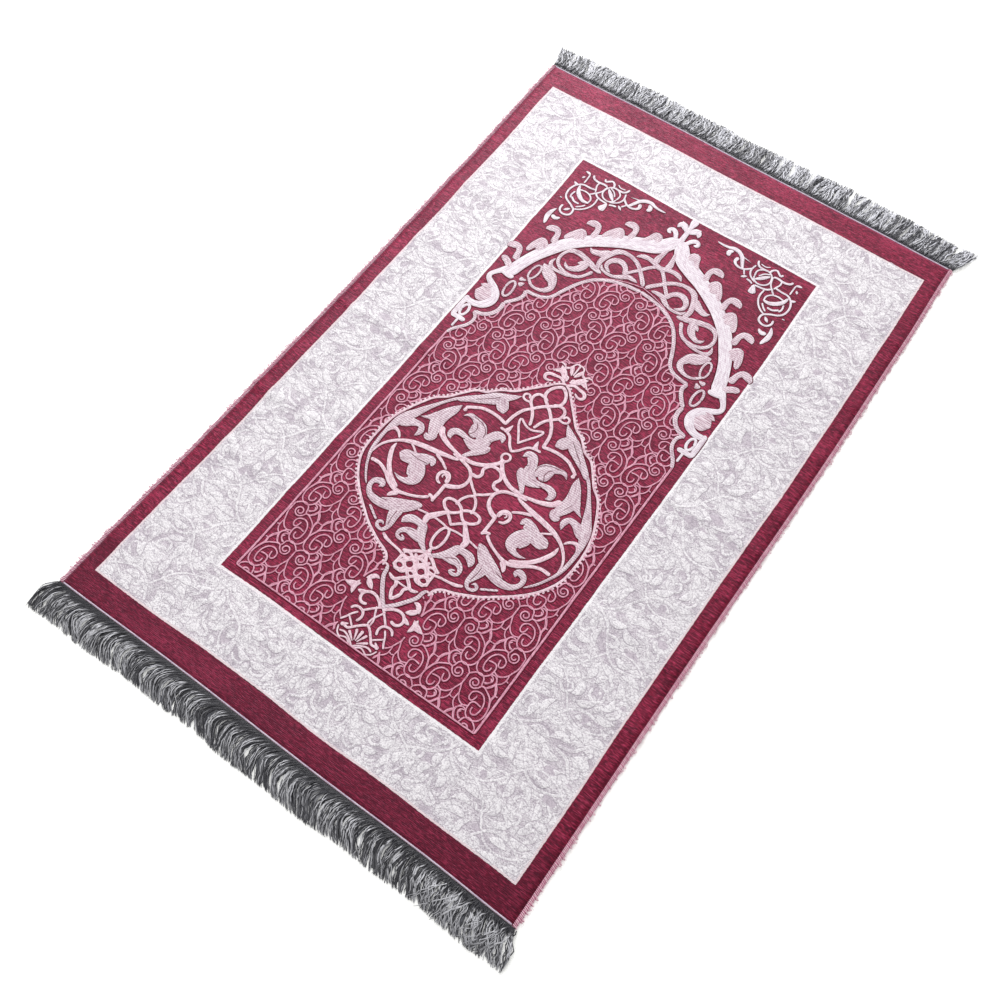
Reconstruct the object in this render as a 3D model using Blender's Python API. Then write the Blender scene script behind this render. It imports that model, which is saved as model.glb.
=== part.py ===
"""A woven prayer rug, 70 x 120 cm with its fringes, lying flat on the floor.

It is made of the pieces its maker puts together: one woven cloth, a fringe sewn to each end and an
overlocked thread binding on each long edge. The cloth still shows the creases it was packed with, low
ridges that run from side to side, and its edges are as uneven as those of the real rug.
X runs across the rug, Y towards the end with the prayer niche and Z up. Lengths are in metres.
"""
import math

import bmesh
import bpy
from mathutils import Vector
from mathutils.geometry import delaunay_2d_cdt

# The cloth, measured flat
RUG_WIDTH = 0.700
CLOTH_LENGTH = 1.092
CLOTH_THICKNESS = 0.0024
INNER_COLUMNS = 12

# The overlocked binding, a folded row of thread around each long edge
BINDING_WIDTH = 0.005
BINDING_HEIGHT = 0.0026
BINDING_WALL = 0.0005
BINDING_BACK = 0.0009
BINDING_ROUND = 0.0004
CLEARANCE = 0.0003
LEAST_LENGTH = 1e-7

# The fringes: a narrow tape and the locks of yarn that hang from it
TAPE_WIDTH = 0.006
TAPE_HEIGHT = 0.0022
LOCKS_AN_END = 130
LOCK_FILL = 0.84
LOCK_CROWN = 0.62
FRINGE_REACH = 0.598
TIP_SWAY = 0.006
TIP_RAGGED = 0.005
CORNER_FLARE = 0.365
CORNER_FADE = 0.80

# How late along its length a lock leans and waves, and how far a wave travels on the way to the tips
LEAN_BEND = 1.3
WAVE_BEND = 1.5
WAVE_TRAVEL = 0.45

# Waves in the combed yarn: wavelength across the rug, phase, size at the tips
LOCK_WAVES = (
    (0.031, 0.6, 0.0016),
    (0.074, 2.1, 0.0024),
    (0.013, 4.0, 0.0009),
)

# How a lock changes along its length: share of the length, share of the root's width, height
LOCK_SECTIONS = (
    (0.22, 0.95, 0.0031),
    (0.48, 0.86, 0.0034),
    (0.76, 0.68, 0.0027),
    (1.00, 0.34, 0.0012),
)

# Sideways lean of the locks' tips along each fringe: place across the rug, lean
HEAD_LEAN = (
    (-0.350, -0.010),
    (-0.290, -0.003),
    (-0.100, 0.003),
    (0.060, 0.001),
    (0.250, 0.004),
    (0.350, 0.010),
)
FOOT_LEAN = (
    (-0.350, -0.008),
    (-0.180, -0.007),
    (-0.050, -0.002),
    (0.060, 0.004),
    (0.240, 0.005),
    (0.350, 0.013),
)

# Packing creases: place on the left edge and on the right edge, lift on the left, in the middle and on
# the right, and how far the ridge reaches to each side
CREASES = (
    (-0.462, -0.446, 0.0013, 0.0007, 0.0011, 0.022),
    (-0.392, -0.399, 0.0009, 0.0005, 0.0014, 0.017),
    (-0.277, -0.291, 0.0013, 0.0009, 0.0019, 0.020),
    (-0.181, -0.194, 0.0020, 0.0010, 0.0016, 0.019),
    (-0.112, -0.119, 0.0008, 0.0006, 0.0011, 0.024),
    (-0.006, -0.004, 0.0018, 0.0014, 0.0020, 0.013),
    (0.052, 0.058, 0.0006, 0.0004, 0.0011, 0.018),
    (0.146, 0.168, 0.0013, 0.0008, 0.0010, 0.020),
    (0.267, 0.264, 0.0012, 0.0007, 0.0015, 0.018),
    (0.391, 0.388, 0.0008, 0.0006, 0.0017, 0.015),
)
CREASE_STEPS = (-1.0, -0.5, 0.0, 0.5, 1.0)
LONGEST_STEP = 0.062

# How far the laid edges stray from a rectangle: place along or across the rug, shift
LEFT_STRAY = ((-0.546, -0.0034), (-0.250, 0.0008), (0.030, 0.0022), (0.300, 0.0002), (0.546, -0.0042))
RIGHT_STRAY = ((-0.546, 0.0026), (-0.200, 0.0016), (0.150, 0.0034), (0.380, 0.0010), (0.546, -0.0030))
HEAD_STRAY = ((-0.350, 0.0018), (-0.120, 0.0030), (0.030, 0.0008), (0.200, 0.0002), (0.350, -0.0020))
FOOT_STRAY = ((-0.350, -0.0022), (-0.130, 0.0006), (0.060, -0.0004), (0.220, 0.0010), (0.350, -0.0012))

HALF_WIDTH = RUG_WIDTH / 2
HALF_LENGTH = CLOTH_LENGTH / 2
LOCK_PITCH = RUG_WIDTH / LOCKS_AN_END
TONGUE_LOW = BINDING_WALL + CLEARANCE
TONGUE_HIGH = BINDING_HEIGHT - BINDING_WALL - CLEARANCE

CLOTH_COLOUR = (0.36, 0.052, 0.115, 1.0)
BINDING_COLOUR = (0.60, 0.30, 0.38, 1.0)
FRINGE_COLOUR = (0.40, 0.42, 0.47, 1.0)


def clear_scene():
    """Remove whatever the file starts with."""
    for thing in list(bpy.data.objects):
        bpy.data.objects.remove(thing, do_unlink=True)


def fabric(name, colour, roughness):
    """A plain woven or twisted yarn material."""
    material = bpy.data.materials.new(name)
    material.use_nodes = True
    shader = material.node_tree.nodes["Principled BSDF"]
    shader.inputs["Base Color"].default_value = colour
    shader.inputs["Roughness"].default_value = roughness
    shader.inputs["Metallic"].default_value = 0.0
    return material


def add_piece(name, bm, collection, material):
    """Turn finished geometry into a named object with its own material."""
    bmesh.ops.recalc_face_normals(bm, faces=bm.faces)
    mesh = bpy.data.meshes.new(name)
    bm.to_mesh(mesh)
    bm.free()
    mesh.materials.append(material)
    piece = bpy.data.objects.new(name, mesh)
    collection.objects.link(piece)
    return piece


def eased(table, place):
    """Read a two-column table at a place, with a smooth ease between its rows."""
    if place <= table[0][0]:
        return table[0][1]
    for (start, low), (end, high) in zip(table, table[1:]):
        if place <= end:
            share = (place - start) / (end - start)
            return low + (high - low) * share * share * (3 - 2 * share)
    return table[-1][1]


def crease_lift(x, y):
    """Height of the cloth's underside above the floor at a point of the flat cloth."""
    across = x / HALF_WIDTH
    lift = 0.0
    for left, right, lift_left, lift_middle, lift_right, reach in CREASES:
        ridge = left + (right - left) * (across + 1) / 2
        away = abs(y - ridge) / reach
        if away < 1:
            side = lift_left if across < 0 else lift_right
            height = lift_middle + (side - lift_middle) * across * across
            lift = max(lift, height * math.cos(away * math.pi / 2) ** 2)
    return lift


def lie(x, y):
    """Where a point of the flat cloth comes to lie, with its edges' unevenness."""
    right_share = (x / HALF_WIDTH + 1) / 2
    head_share = (y / HALF_LENGTH + 1) / 2
    shift_x = eased(LEFT_STRAY, y) * (1 - right_share) + eased(RIGHT_STRAY, y) * right_share
    shift_y = eased(FOOT_STRAY, x) * (1 - head_share) ** 3 + eased(HEAD_STRAY, x) * head_share ** 3
    return x + shift_x, y + shift_y


def station_rows():
    """Rows of the cloth's net from foot to head, each as its place on the left and right edges."""
    rows = [(-HALF_LENGTH, -HALF_LENGTH)]
    for left, right, _, _, _, reach in CREASES:
        rows += [(left + step * reach, right + step * reach) for step in CREASE_STEPS]
    rows.append((HALF_LENGTH, HALF_LENGTH))
    filled = rows[:1]
    for row in rows[1:]:
        last = filled[-1]
        parts = max(1, math.ceil((row[0] - last[0]) / LONGEST_STEP))
        for part in range(1, parts + 1):
            share = part / parts
            filled.append(tuple(a + (b - a) * share for a, b in zip(last, row)))
    return filled


def on_row(row, x):
    """Place along the rug where a row of the net crosses a place across it."""
    return row[0] + (row[1] - row[0]) * (x / HALF_WIDTH + 1) / 2


def cloth_columns():
    """Columns of the cloth's net with the underside's and the top's height over the crease lift.

    The margin inside each binding is pressed thin by the overlock stitch.
    """
    tongue_tip = HALF_WIDTH - BINDING_BACK - CLEARANCE
    tongue_root = HALF_WIDTH - BINDING_WIDTH - CLEARANCE
    shoulder = tongue_root - CLEARANCE
    inner = [shoulder * (2 * i / INNER_COLUMNS - 1) for i in range(INNER_COLUMNS + 1)]
    thin = [(x, TONGUE_LOW, TONGUE_HIGH) for x in (-tongue_tip, -tongue_root)]
    full = [(x, 0.0, CLOTH_THICKNESS) for x in inner]
    return thin + full + [(-x, low, high) for x, low, high in reversed(thin)]


def make_cloth(collection):
    """The woven cloth: a net of its underside, raised to the top as one closed body."""
    columns = cloth_columns()
    rows = station_rows()
    bm = bmesh.new()
    column_layer = bm.verts.layers.int.new("column")
    across = len(columns) - 1
    along = len(rows) - 1
    net = bmesh.ops.create_grid(bm, x_segments=across, y_segments=along, size=1.0)["verts"]
    net.sort(key=lambda vert: (round(vert.co.y, 5), round(vert.co.x, 5)))
    for index, vert in enumerate(net):
        vert[column_layer] = index % len(columns)
        x, low, _ = columns[vert[column_layer]]
        y = on_row(rows[index // len(columns)], x)
        vert.co = (*lie(x, y), crease_lift(x, y) + low)
    raised = bmesh.ops.extrude_face_region(bm, geom=bm.faces[:])["geom"]
    for vert in (item for item in raised if isinstance(item, bmesh.types.BMVert)):
        _, low, high = columns[vert[column_layer]]
        vert.co.z += high - low
    return add_piece("rug_cloth", bm, collection, fabric("woven cloth", CLOTH_COLOUR, 0.75))


def sweep(bm, face, rings):
    """Draw a face out through a row of rings, each a list of places for the face's corners."""
    for ring in rings:
        face = bmesh.ops.extrude_discrete_faces(bm, faces=[face])["faces"][0]
        for vert, place in zip(face.verts, ring):
            vert.co = place
    return face


def binding_section():
    """Section of the binding: distance in from the rug's outer edge, and height."""
    low_slot = BINDING_WALL
    high_slot = BINDING_HEIGHT - BINDING_WALL
    return (
        (BINDING_ROUND, 0.0),
        (0.0, BINDING_ROUND * 2),
        (0.0, BINDING_HEIGHT - BINDING_ROUND * 2),
        (BINDING_ROUND, BINDING_HEIGHT),
        (BINDING_WIDTH, BINDING_HEIGHT - BINDING_ROUND / 2),
        (BINDING_WIDTH, high_slot),
        (BINDING_BACK, high_slot),
        (BINDING_BACK, low_slot),
        (BINDING_WIDTH, low_slot),
        (BINDING_WIDTH, 0.0),
    )


def binding_ring(side, row):
    """The binding's section at one row of the cloth's net."""
    ring = []
    for inward, height in binding_section():
        x = side * (HALF_WIDTH - inward)
        y = on_row(row, x)
        laid_x, laid_y = lie(x, y)
        ring.append((laid_x, laid_y, height + crease_lift(x, y)))
    return ring


def make_binding(name, side, collection, material):
    """Overlocked thread folded around one long edge, from the foot end to the head end."""
    rings = [binding_ring(side, row) for row in station_rows()]
    bm = bmesh.new()
    first = bm.faces.new([bm.verts.new(place) for place in rings[0]])
    start_cap = first.copy()
    start_cap.normal_flip()
    sweep(bm, first, rings[1:])
    bmesh.ops.remove_doubles(bm, verts=bm.verts, dist=LEAST_LENGTH)
    return add_piece(name, bm, collection, material)


def lock_roots():
    """Middle of each lock's place on the flat tape."""
    return [-HALF_WIDTH + LOCK_PITCH * (index + 0.5) for index in range(LOCKS_AN_END)]


def tip_place(index, end):
    """How far along the rug a lock's tip lies; the middle lock of each end reaches furthest."""
    if index == LOCKS_AN_END // 2:
        return end * FRINGE_REACH
    sway = 1 + 0.6 * math.sin(index * 0.093 + 2 * end) + 0.4 * math.sin(index * 0.31 + end)
    ragged = 1 + math.sin(index * 12.99 + 4 * end)
    return end * (FRINGE_REACH - TIP_SWAY * sway / 2 - TIP_RAGGED * ragged / 2)


def lock_drift(x, share, end, lean):
    """Sideways shift of the yarn at a place across the rug, a share of the way to its tips."""
    drift = eased(lean, x) * share ** LEAN_BEND
    for wavelength, phase, size in LOCK_WAVES:
        swing = math.sin(2 * math.pi * (x / wavelength + WAVE_TRAVEL * share) + phase * end)
        drift += size * share ** WAVE_BEND * swing
    return drift


def combed(middles, half):
    """Push neighbouring locks apart until they stand clear, from the middle of the fringe outwards."""
    apart = 2 * half + CLEARANCE
    centre = len(middles) // 2
    for i in range(centre + 1, len(middles)):
        middles[i] = max(middles[i], middles[i - 1] + apart)
    for i in range(centre - 1, -1, -1):
        middles[i] = min(middles[i], middles[i + 1] - apart)
    return middles


def lock_table(end, lean):
    """For each section, the middles of all locks across the rug and half their width there."""
    table = []
    for share, width_share, _ in LOCK_SECTIONS:
        half = LOCK_PITCH * LOCK_FILL * width_share / 2
        middles = [lie(x, end * HALF_LENGTH)[0] + lock_drift(x, share, end, lean) for x in lock_roots()]
        table.append((combed(middles, half), half))
    tips, tip_half = table[-1]
    left_fan = -(CORNER_FLARE - tip_half) - tips[0]
    right_fan = CORNER_FLARE - tip_half - tips[-1]
    for (share, _, _), (middles, _) in zip(LOCK_SECTIONS, table):
        for i in range(LOCKS_AN_END // 2):
            fade = share ** 2 * CORNER_FADE ** i
            middles[i] += left_fan * fade
            middles[-1 - i] += right_fan * fade
    return table


def draw_lock(bm, face, index, end, table):
    """Draw one lock out of its place on the tape; its underside lies level on the floor."""
    root = face.calc_center_median()
    tip = tip_place(index, end)
    plump = 0.86 + 0.14 * math.sin(index * 2.4 + end)
    rings = []
    for (share, _, height), (middles, half) in zip(LOCK_SECTIONS, table):
        ring = []
        for vert in face.verts:
            side = 1 if vert.co.x > root.x else -1
            upper = vert.co.z > TAPE_HEIGHT / 2
            x = middles[index] + side * half * (LOCK_CROWN if upper else 1)
            ring.append((x, root.y + (tip - root.y) * share, height * plump if upper else 0.0))
        rings.append(ring)
    sweep(bm, face, rings)


def make_fringe(name, end, lean, collection, material):
    """One fringe: the tape along a cloth end, and the locks drawn out of its outer wall."""
    edge = end * HALF_LENGTH
    inner = [-HALF_WIDTH] + [x for x, _, _ in cloth_columns()] + [HALF_WIDTH]
    half_root = LOCK_PITCH * LOCK_FILL / 2
    outer = [x + side * half_root for x in lock_roots() for side in (-1, 1)]
    outer = [-HALF_WIDTH] + outer[1:-1] + [HALF_WIDTH]

    def border(x, away):
        laid_x, laid_y = lie(x, edge)
        return Vector((laid_x, laid_y + end * away))

    outline = [border(x, CLEARANCE) for x in inner]
    outline += [border(x, CLEARANCE + TAPE_WIDTH) for x in reversed(outer)]
    loop = list(range(len(outline)))
    points, _, triangles, _, _, _ = delaunay_2d_cdt(outline, [], [loop], 1, LEAST_LENGTH)
    bm = bmesh.new()
    corners = [bm.verts.new((point.x, point.y, 0.0)) for point in points]
    for triangle in triangles:
        bm.faces.new([corners[i] for i in triangle])
    raised = bmesh.ops.extrude_face_region(bm, geom=bm.faces[:])["geom"]
    for vert in (item for item in raised if isinstance(item, bmesh.types.BMVert)):
        vert.co.z = TAPE_HEIGHT
    walls = [face for face in bm.faces if len(face.verts) == 4]
    walls = [face for face in walls if on_outer_wall(face.calc_center_median(), end)]
    walls.sort(key=lambda face: face.calc_center_median().x)
    table = lock_table(end, lean)
    for index, face in enumerate(walls[::2]):
        draw_lock(bm, face, index, end, table)
    return add_piece(name, bm, collection, material)


def on_outer_wall(point, end):
    """Whether a wall's middle lies on the side of the tape that the locks hang from."""
    away = end * (point.y - lie(point.x, end * HALF_LENGTH)[1])
    return away > CLEARANCE + TAPE_WIDTH * 0.75


def main():
    clear_scene()
    collection = bpy.data.collections.new("prayer_rug")
    bpy.context.scene.collection.children.link(collection)
    make_cloth(collection)
    thread = fabric("overlock thread", BINDING_COLOUR, 0.6)
    make_binding("edge_binding_left", -1, collection, thread)
    make_binding("edge_binding_right", 1, collection, thread)
    yarn = fabric("fringe yarn", FRINGE_COLOUR, 0.6)
    make_fringe("fringe_head", 1, HEAD_LEAN, collection, yarn)
    make_fringe("fringe_foot", -1, FOOT_LEAN, collection, yarn)


main()
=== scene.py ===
# %% [markdown]
# # A woven prayer rug
# The object is a jacquard prayer rug of 70 x 120 cm: a burgundy cloth with a white damask border and a
# pale niche and medallion, an overlocked thread edge on its long sides and a combed fringe at its ends.
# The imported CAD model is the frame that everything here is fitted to, so it is loaded first.

# %% Load the frame
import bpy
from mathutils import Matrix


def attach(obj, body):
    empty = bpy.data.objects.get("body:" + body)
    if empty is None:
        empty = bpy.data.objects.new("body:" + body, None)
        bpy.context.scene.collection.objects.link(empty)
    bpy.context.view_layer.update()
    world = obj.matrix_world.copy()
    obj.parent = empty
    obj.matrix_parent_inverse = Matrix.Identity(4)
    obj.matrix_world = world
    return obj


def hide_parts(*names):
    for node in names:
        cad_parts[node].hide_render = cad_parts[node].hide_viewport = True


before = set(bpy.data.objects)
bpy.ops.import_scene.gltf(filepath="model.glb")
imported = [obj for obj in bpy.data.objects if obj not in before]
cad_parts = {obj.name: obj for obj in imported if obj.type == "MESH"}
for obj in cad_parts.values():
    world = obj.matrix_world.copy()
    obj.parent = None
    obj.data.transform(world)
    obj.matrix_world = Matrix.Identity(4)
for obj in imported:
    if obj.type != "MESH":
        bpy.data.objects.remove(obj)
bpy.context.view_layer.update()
print("CAD nodes:", sorted(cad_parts))

# %% Tools
import math
import random

import bpy
from mathutils import Matrix, Vector

MM = 0.001
scene = bpy.context.scene

# %% [markdown]
# ## The camera
# The photograph looks down on the rug from its near right corner. The camera was solved from the rug's
# corners, so it is set by its place, its direction and a slight roll. It comes first, because every
# other choice is judged through it.

# %% Set the camera
CAMERA_PLACE = Vector((0.41718, -0.64794, 1.31318))
CAMERA_FORWARD = Vector((-0.26380, 0.35257, -0.89783)).normalized()
CAMERA_RIGHT = Vector((0.81056, 0.58560, -0.00820)).normalized()
CAMERA_LENS = 40.39
SENSOR_WIDTH = 36.0

def set_camera():
    """A camera at the photograph's place; its axes are right, up and backwards."""
    up = CAMERA_RIGHT.cross(CAMERA_FORWARD)
    turn = Matrix((CAMERA_RIGHT, up, -CAMERA_FORWARD)).transposed()
    camera = bpy.data.objects.new("camera", bpy.data.cameras.new("camera"))
    camera.matrix_world = Matrix.Translation(CAMERA_PLACE) @ turn.to_4x4()
    camera.data.lens = CAMERA_LENS
    camera.data.sensor_width = SENSOR_WIDTH
    scene.collection.objects.link(camera)
    scene.camera = camera
    return camera

camera = set_camera()
print("camera height:", round(camera.location.z, 3), "m")

# %% [markdown]
# ## How the cloth lies
# The real cloth isn't flat: it was packed folded, so low ridges run across it, and its edges stray a few
# millimetres from a rectangle. The same two rules place every thread later on. One gives the lift of the
# creases and the other the shift of a point, so nothing floats over the cloth or sinks into it.

# %% Sizes of the cloth and its creases
RUG_WIDTH = 0.700
CLOTH_LENGTH = 1.092
CLOTH_THICKNESS = 0.0024
HALF_WIDTH = RUG_WIDTH / 2
HALF_LENGTH = CLOTH_LENGTH / 2
BINDING_WIDTH = 0.005
BINDING_HEIGHT = 0.0026
BINDING_BACK = 0.0009
BINDING_WALL = 0.0005
CLEARANCE = 0.0003
CREASES = (
    (-0.462, -0.446, 0.0013, 0.0007, 0.0011, 0.022),
    (-0.392, -0.399, 0.0009, 0.0005, 0.0014, 0.017),
    (-0.277, -0.291, 0.0013, 0.0009, 0.0019, 0.020),
    (-0.181, -0.194, 0.0020, 0.0010, 0.0016, 0.019),
    (-0.112, -0.119, 0.0008, 0.0006, 0.0011, 0.024),
    (-0.006, -0.004, 0.0018, 0.0014, 0.0020, 0.013),
    (0.052, 0.058, 0.0006, 0.0004, 0.0011, 0.018),
    (0.146, 0.168, 0.0013, 0.0008, 0.0010, 0.020),
    (0.267, 0.264, 0.0012, 0.0007, 0.0015, 0.018),
    (0.391, 0.388, 0.0008, 0.0006, 0.0017, 0.015),
)
LEFT_STRAY = ((-0.546, -0.0034), (-0.250, 0.0008), (0.030, 0.0022), (0.300, 0.0002), (0.546, -0.0042))
RIGHT_STRAY = ((-0.546, 0.0026), (-0.200, 0.0016), (0.150, 0.0034), (0.380, 0.0010), (0.546, -0.0030))
HEAD_STRAY = ((-0.350, 0.0018), (-0.120, 0.0030), (0.030, 0.0008), (0.200, 0.0002), (0.350, -0.0020))
FOOT_STRAY = ((-0.350, -0.0022), (-0.130, 0.0006), (0.060, -0.0004), (0.220, 0.0010), (0.350, -0.0012))

# %% Place a point of the flat cloth
def eased(table, place):
    """Read a two-column table at a place, with a smooth ease between its rows."""
    if place <= table[0][0]:
        return table[0][1]
    for (start, low), (end, high) in zip(table, table[1:]):
        if place <= end:
            share = (place - start) / (end - start)
            return low + (high - low) * share * share * (3 - 2 * share)
    return table[-1][1]

def crease_lift(x, y):
    """Height of the cloth's underside above the floor at a point of the flat cloth."""
    across = x / HALF_WIDTH
    lift = 0.0
    for left, right, lift_left, lift_middle, lift_right, reach in CREASES:
        ridge = left + (right - left) * (across + 1) / 2
        away = abs(y - ridge) / reach
        if away < 1:
            side = lift_left if across < 0 else lift_right
            height = lift_middle + (side - lift_middle) * across * across
            lift = max(lift, height * math.cos(away * math.pi / 2) ** 2)
    return lift

def lie(x, y):
    """Where a point of the flat cloth comes to lie, with its edges' unevenness."""
    right_share = (x / HALF_WIDTH + 1) / 2
    head_share = (y / HALF_LENGTH + 1) / 2
    shift_x = eased(LEFT_STRAY, y) * (1 - right_share) + eased(RIGHT_STRAY, y) * right_share
    shift_y = eased(FOOT_STRAY, x) * (1 - head_share) ** 3 + eased(HEAD_STRAY, x) * head_share ** 3
    return x + shift_x, y + shift_y

def puff(x, y):
    """Fine unevenness of the woven surface, never below the level cloth."""
    broad = math.sin(23 * x + 2.1 * math.sin(17 * y)) * math.sin(61 * y + 1.7 * math.sin(19 * x))
    small = math.sin(97 * x + 31 * y) * math.sin(143 * y - 12 * x)
    return 0.00022 * (1 + 0.6 * broad + 0.4 * small)

def on_cloth(x, y, height=0.0):
    """A point of the flat cloth's top, laid, and raised by height."""
    laid_x, laid_y = lie(x, y)
    return laid_x, laid_y, CLOTH_THICKNESS + crease_lift(x, y) + puff(x, y) + height

print("creases:", len(CREASES), "highest", max(row[2] for row in CREASES) / MM, "mm")

# %% [markdown]
# ## Make a mesh piece
# Every piece here is a mesh that is worked out point by point. Each point also keeps two marks: its place
# on the flat cloth, and its place along and across its own yarn. The finishes read these marks, so a
# weave or a sheen follows the cloth wherever the cloth goes. A flat map, named OFBake, gives an even
# picture of the piece.

# %% Add a piece
class Work:
    """A piece in the making: its points with their marks, its faces and the finish of each face."""

    def __init__(self):
        self.points = []
        self.flat = []
        self.yarn = []
        self.faces = []
        self.paint = []
        self.strokes = 0

    def add(self, point, flat, yarn=None):
        """One more point with its marks."""
        self.points.append(point)
        self.flat.append(flat)
        if yarn:
            self.yarn.append(yarn)

    def join(self, rows, width, paint=0, closed=False, over=True):
        """Join the last rows of points; closed joins each row's ends, and over turns the faces over."""
        first = len(self.points) - rows * width
        for start in range(first, first + (rows - 1) * width, width):
            for column in range(width if closed else width - 1):
                a, b = start + column, start + (column + 1) % width
                face = (a, b, b + width, a + width)
                self.faces.append(face[::-1] if over else face)
                self.paint.append(paint)

def add_piece(name, work, materials):
    """The named object of a piece in the making."""
    mesh = bpy.data.meshes.new(name)
    mesh.from_pydata(work.points, [], work.faces)
    for title, marks in (("flat", work.flat), ("yarn", work.yarn)):
        if marks:
            layer = mesh.attributes.new(title, "FLOAT_VECTOR", "POINT")
            layer.data.foreach_set("vector", [number for mark in marks for number in mark])
    for material in materials:
        mesh.materials.append(material)
    mesh.polygons.foreach_set("use_smooth", [True] * len(work.faces))
    mesh.polygons.foreach_set("material_index", work.paint)
    piece = bpy.data.objects.new(name, mesh)
    scene.collection.objects.link(piece)
    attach(piece, "root")
    return piece

def map_flat(piece, flat):
    """A planar map of the piece, from its places on the flat cloth."""
    low_x, low_y = (min(place[axis] for place in flat) for axis in (0, 1))
    high_x, high_y = (max(place[axis] for place in flat) for axis in (0, 1))
    size = max(high_x - low_x, high_y - low_y)
    uv = piece.data.uv_layers.new(name="OFBake")
    for loop in piece.data.loops:
        x, y = flat[loop.vertex_index][:2]
        uv.data[loop.index].uv = ((x - low_x) / size, (y - low_y) / size)

def report(piece):
    """Print what a piece came to."""
    piece.data.calc_loop_triangles()
    print(piece.name, "triangles:", len(piece.data.loop_triangles))
    return piece

# %% [markdown]
# ## Finishes
# A woven finish could be a picture, but a picture has one scale and one place. Nodes are used instead:
# noise that is drawn out along the weft gives slubs and ribs, and bands that are measured from the middle
# of the rug give the burgundy edge, the white border and the frame. A few short helpers keep each finish
# down to what matters in it: an amount stands for a node's output, and a sum of amounts is a Math node.

# %% Colours and amounts
def colour(*dye):
    """A colour as it is read on a screen, 0 to 255, turned into the light that Blender works in."""
    shares = [value / 255 for value in dye]
    return (*(s / 12.92 if s <= 0.04045 else ((s + 0.055) / 1.055) ** 2.4 for s in shares), 1.0)

class Amount:
    """A number, place or colour in a finish; sums of amounts turn into Math nodes."""

    def __init__(self, socket):
        self.socket = socket
        self.tree = socket.id_data

    def __add__(self, other):
        return maths("ADD", self, other)

    def __sub__(self, other):
        return maths("SUBTRACT", self, other)

    def __rsub__(self, other):
        return maths("SUBTRACT", other, self)

    def __mul__(self, other):
        return maths("MULTIPLY", self, other)

    def __abs__(self):
        return maths("ABSOLUTE", self)

    def rise(self, low, high):
        """0 below low and 1 above high, with a smooth rise between; low may be the larger one."""
        inputs = {"Value": self, "From Min": low, "From Max": high}
        return add_node(self.tree, "ShaderNodeMapRange", inputs, interpolation_type="SMOOTHSTEP")[0]

def add_node(tree, kind, inputs, **settings):
    """The outputs of a new node; its inputs are given by name or number, as values or as amounts."""
    node = tree.nodes.new(kind)
    for key, value in settings.items():
        setattr(node, key, value)
    for key, value in dict(inputs).items():
        if isinstance(value, Amount):
            tree.links.new(value.socket, node.inputs[key])
        else:
            node.inputs[key].default_value = value
    return [Amount(output) for output in node.outputs]

def maths(operation, *terms):
    """One step of arithmetic, on amounts and plain numbers."""
    tree = next(term.tree for term in terms if isinstance(term, Amount))
    return add_node(tree, "ShaderNodeMath", enumerate(terms), operation=operation)[0]

def wave(y, pitch, sway):
    """A wave along the rug that swings between -1 and 1, with its crests swayed by an amount."""
    return maths("SINE", y * (2 * math.pi / pitch) + sway)

print("middle grey as light:", round(colour(128, 128, 128)[0], 3))

# %% Helpers for finishes
def mark(material, name):
    """A mark of the mesh, as its vector and its three numbers."""
    vector = add_node(material.node_tree, "ShaderNodeAttribute", {}, attribute_name=name)[1]
    return vector, *add_node(material.node_tree, "ShaderNodeSeparateXYZ", {0: vector})

def cloudy(vector, scale, detail=2.0, shift=0.0):
    """Noise that is drawn out by a scale for each direction."""
    inputs = {"Vector": vector, "Scale": scale, "Location": (shift, shift, shift)}
    placed = add_node(vector.tree, "ShaderNodeMapping", inputs)[0]
    return add_node(vector.tree, "ShaderNodeTexNoise", {"Vector": placed, "Scale": 1.0, "Detail": detail})[0]

def tint(share, first, second):
    """The first colour, turned into the second by a share."""
    return add_node(share.tree, "ShaderNodeMix", {0: share, 6: first, 7: second}, data_type="RGBA")[2]

def start_finish(name, roughness, sheen=0.2, specular=0.35, **more):
    """A new material, set as dull yarn; more holds other inputs, with _ for a space."""
    material = bpy.data.materials.new(name)
    material.use_nodes = True
    inputs = {"Roughness": roughness, "Sheen Weight": sheen, "Sheen Roughness": 0.4,
              "Specular IOR Level": specular, **more}
    for key, value in inputs.items():
        material.node_tree.nodes["Principled BSDF"].inputs[key.replace("_", " ")].default_value = value
    return material

def end_finish(material, dye, height=None, depth=0.0, strength=0.6):
    """Give a material its colour, and its relief from a height between 0 and 1."""
    tree = material.node_tree
    shader = tree.nodes["Principled BSDF"]
    tree.links.new(dye.socket, shader.inputs["Base Color"])
    if height:
        inputs = {"Height": height, "Distance": depth, "Strength": strength}
        tree.links.new(add_node(tree, "ShaderNodeBump", inputs)[0].socket, shader.inputs["Normal"])
    return material

# %% [markdown]
# ### The ground weave
# The ground is one jacquard weave that changes colour in bands: burgundy at the edge, a fine cream line,
# the white border, and burgundy again inside the frame. Thick weft yarns give it level ribs and short
# bright slubs. The underside shows the same bands with the colours changed over, as a real jacquard does.

# %% Colours and bands of the ground
BURGUNDY_DARK = colour(52, 3, 14)
BURGUNDY_DEEP = colour(90, 10, 30)
BURGUNDY = colour(134, 21, 47)
SLUB_PINK = colour(186, 58, 92)
SATIN_PINK = colour(255, 144, 184)
SATIN_WHITE = colour(250, 246, 250)
BORDER_GREY = colour(150, 139, 152)
BORDER_LILAC = colour(209, 198, 208)
BORDER_WHITE = colour(250, 246, 249)
EDGE_CREAM = colour(236, 218, 222)
BORDER_HALF_WIDTH = 0.3238
BORDER_FOOT, BORDER_HEAD = -0.5100, 0.5070
FRAME_HALF_WIDTH = 0.2020
FRAME_FOOT, FRAME_HEAD = -0.4140, 0.4080
EDGE_LINE_WIDTH = 0.0026
FRAME_STRIP_WIDTH = 0.0036
RIB_PITCH = 0.0019
LINE_BLUR = 0.0003
ZONE_BLUR = 0.0002

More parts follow.
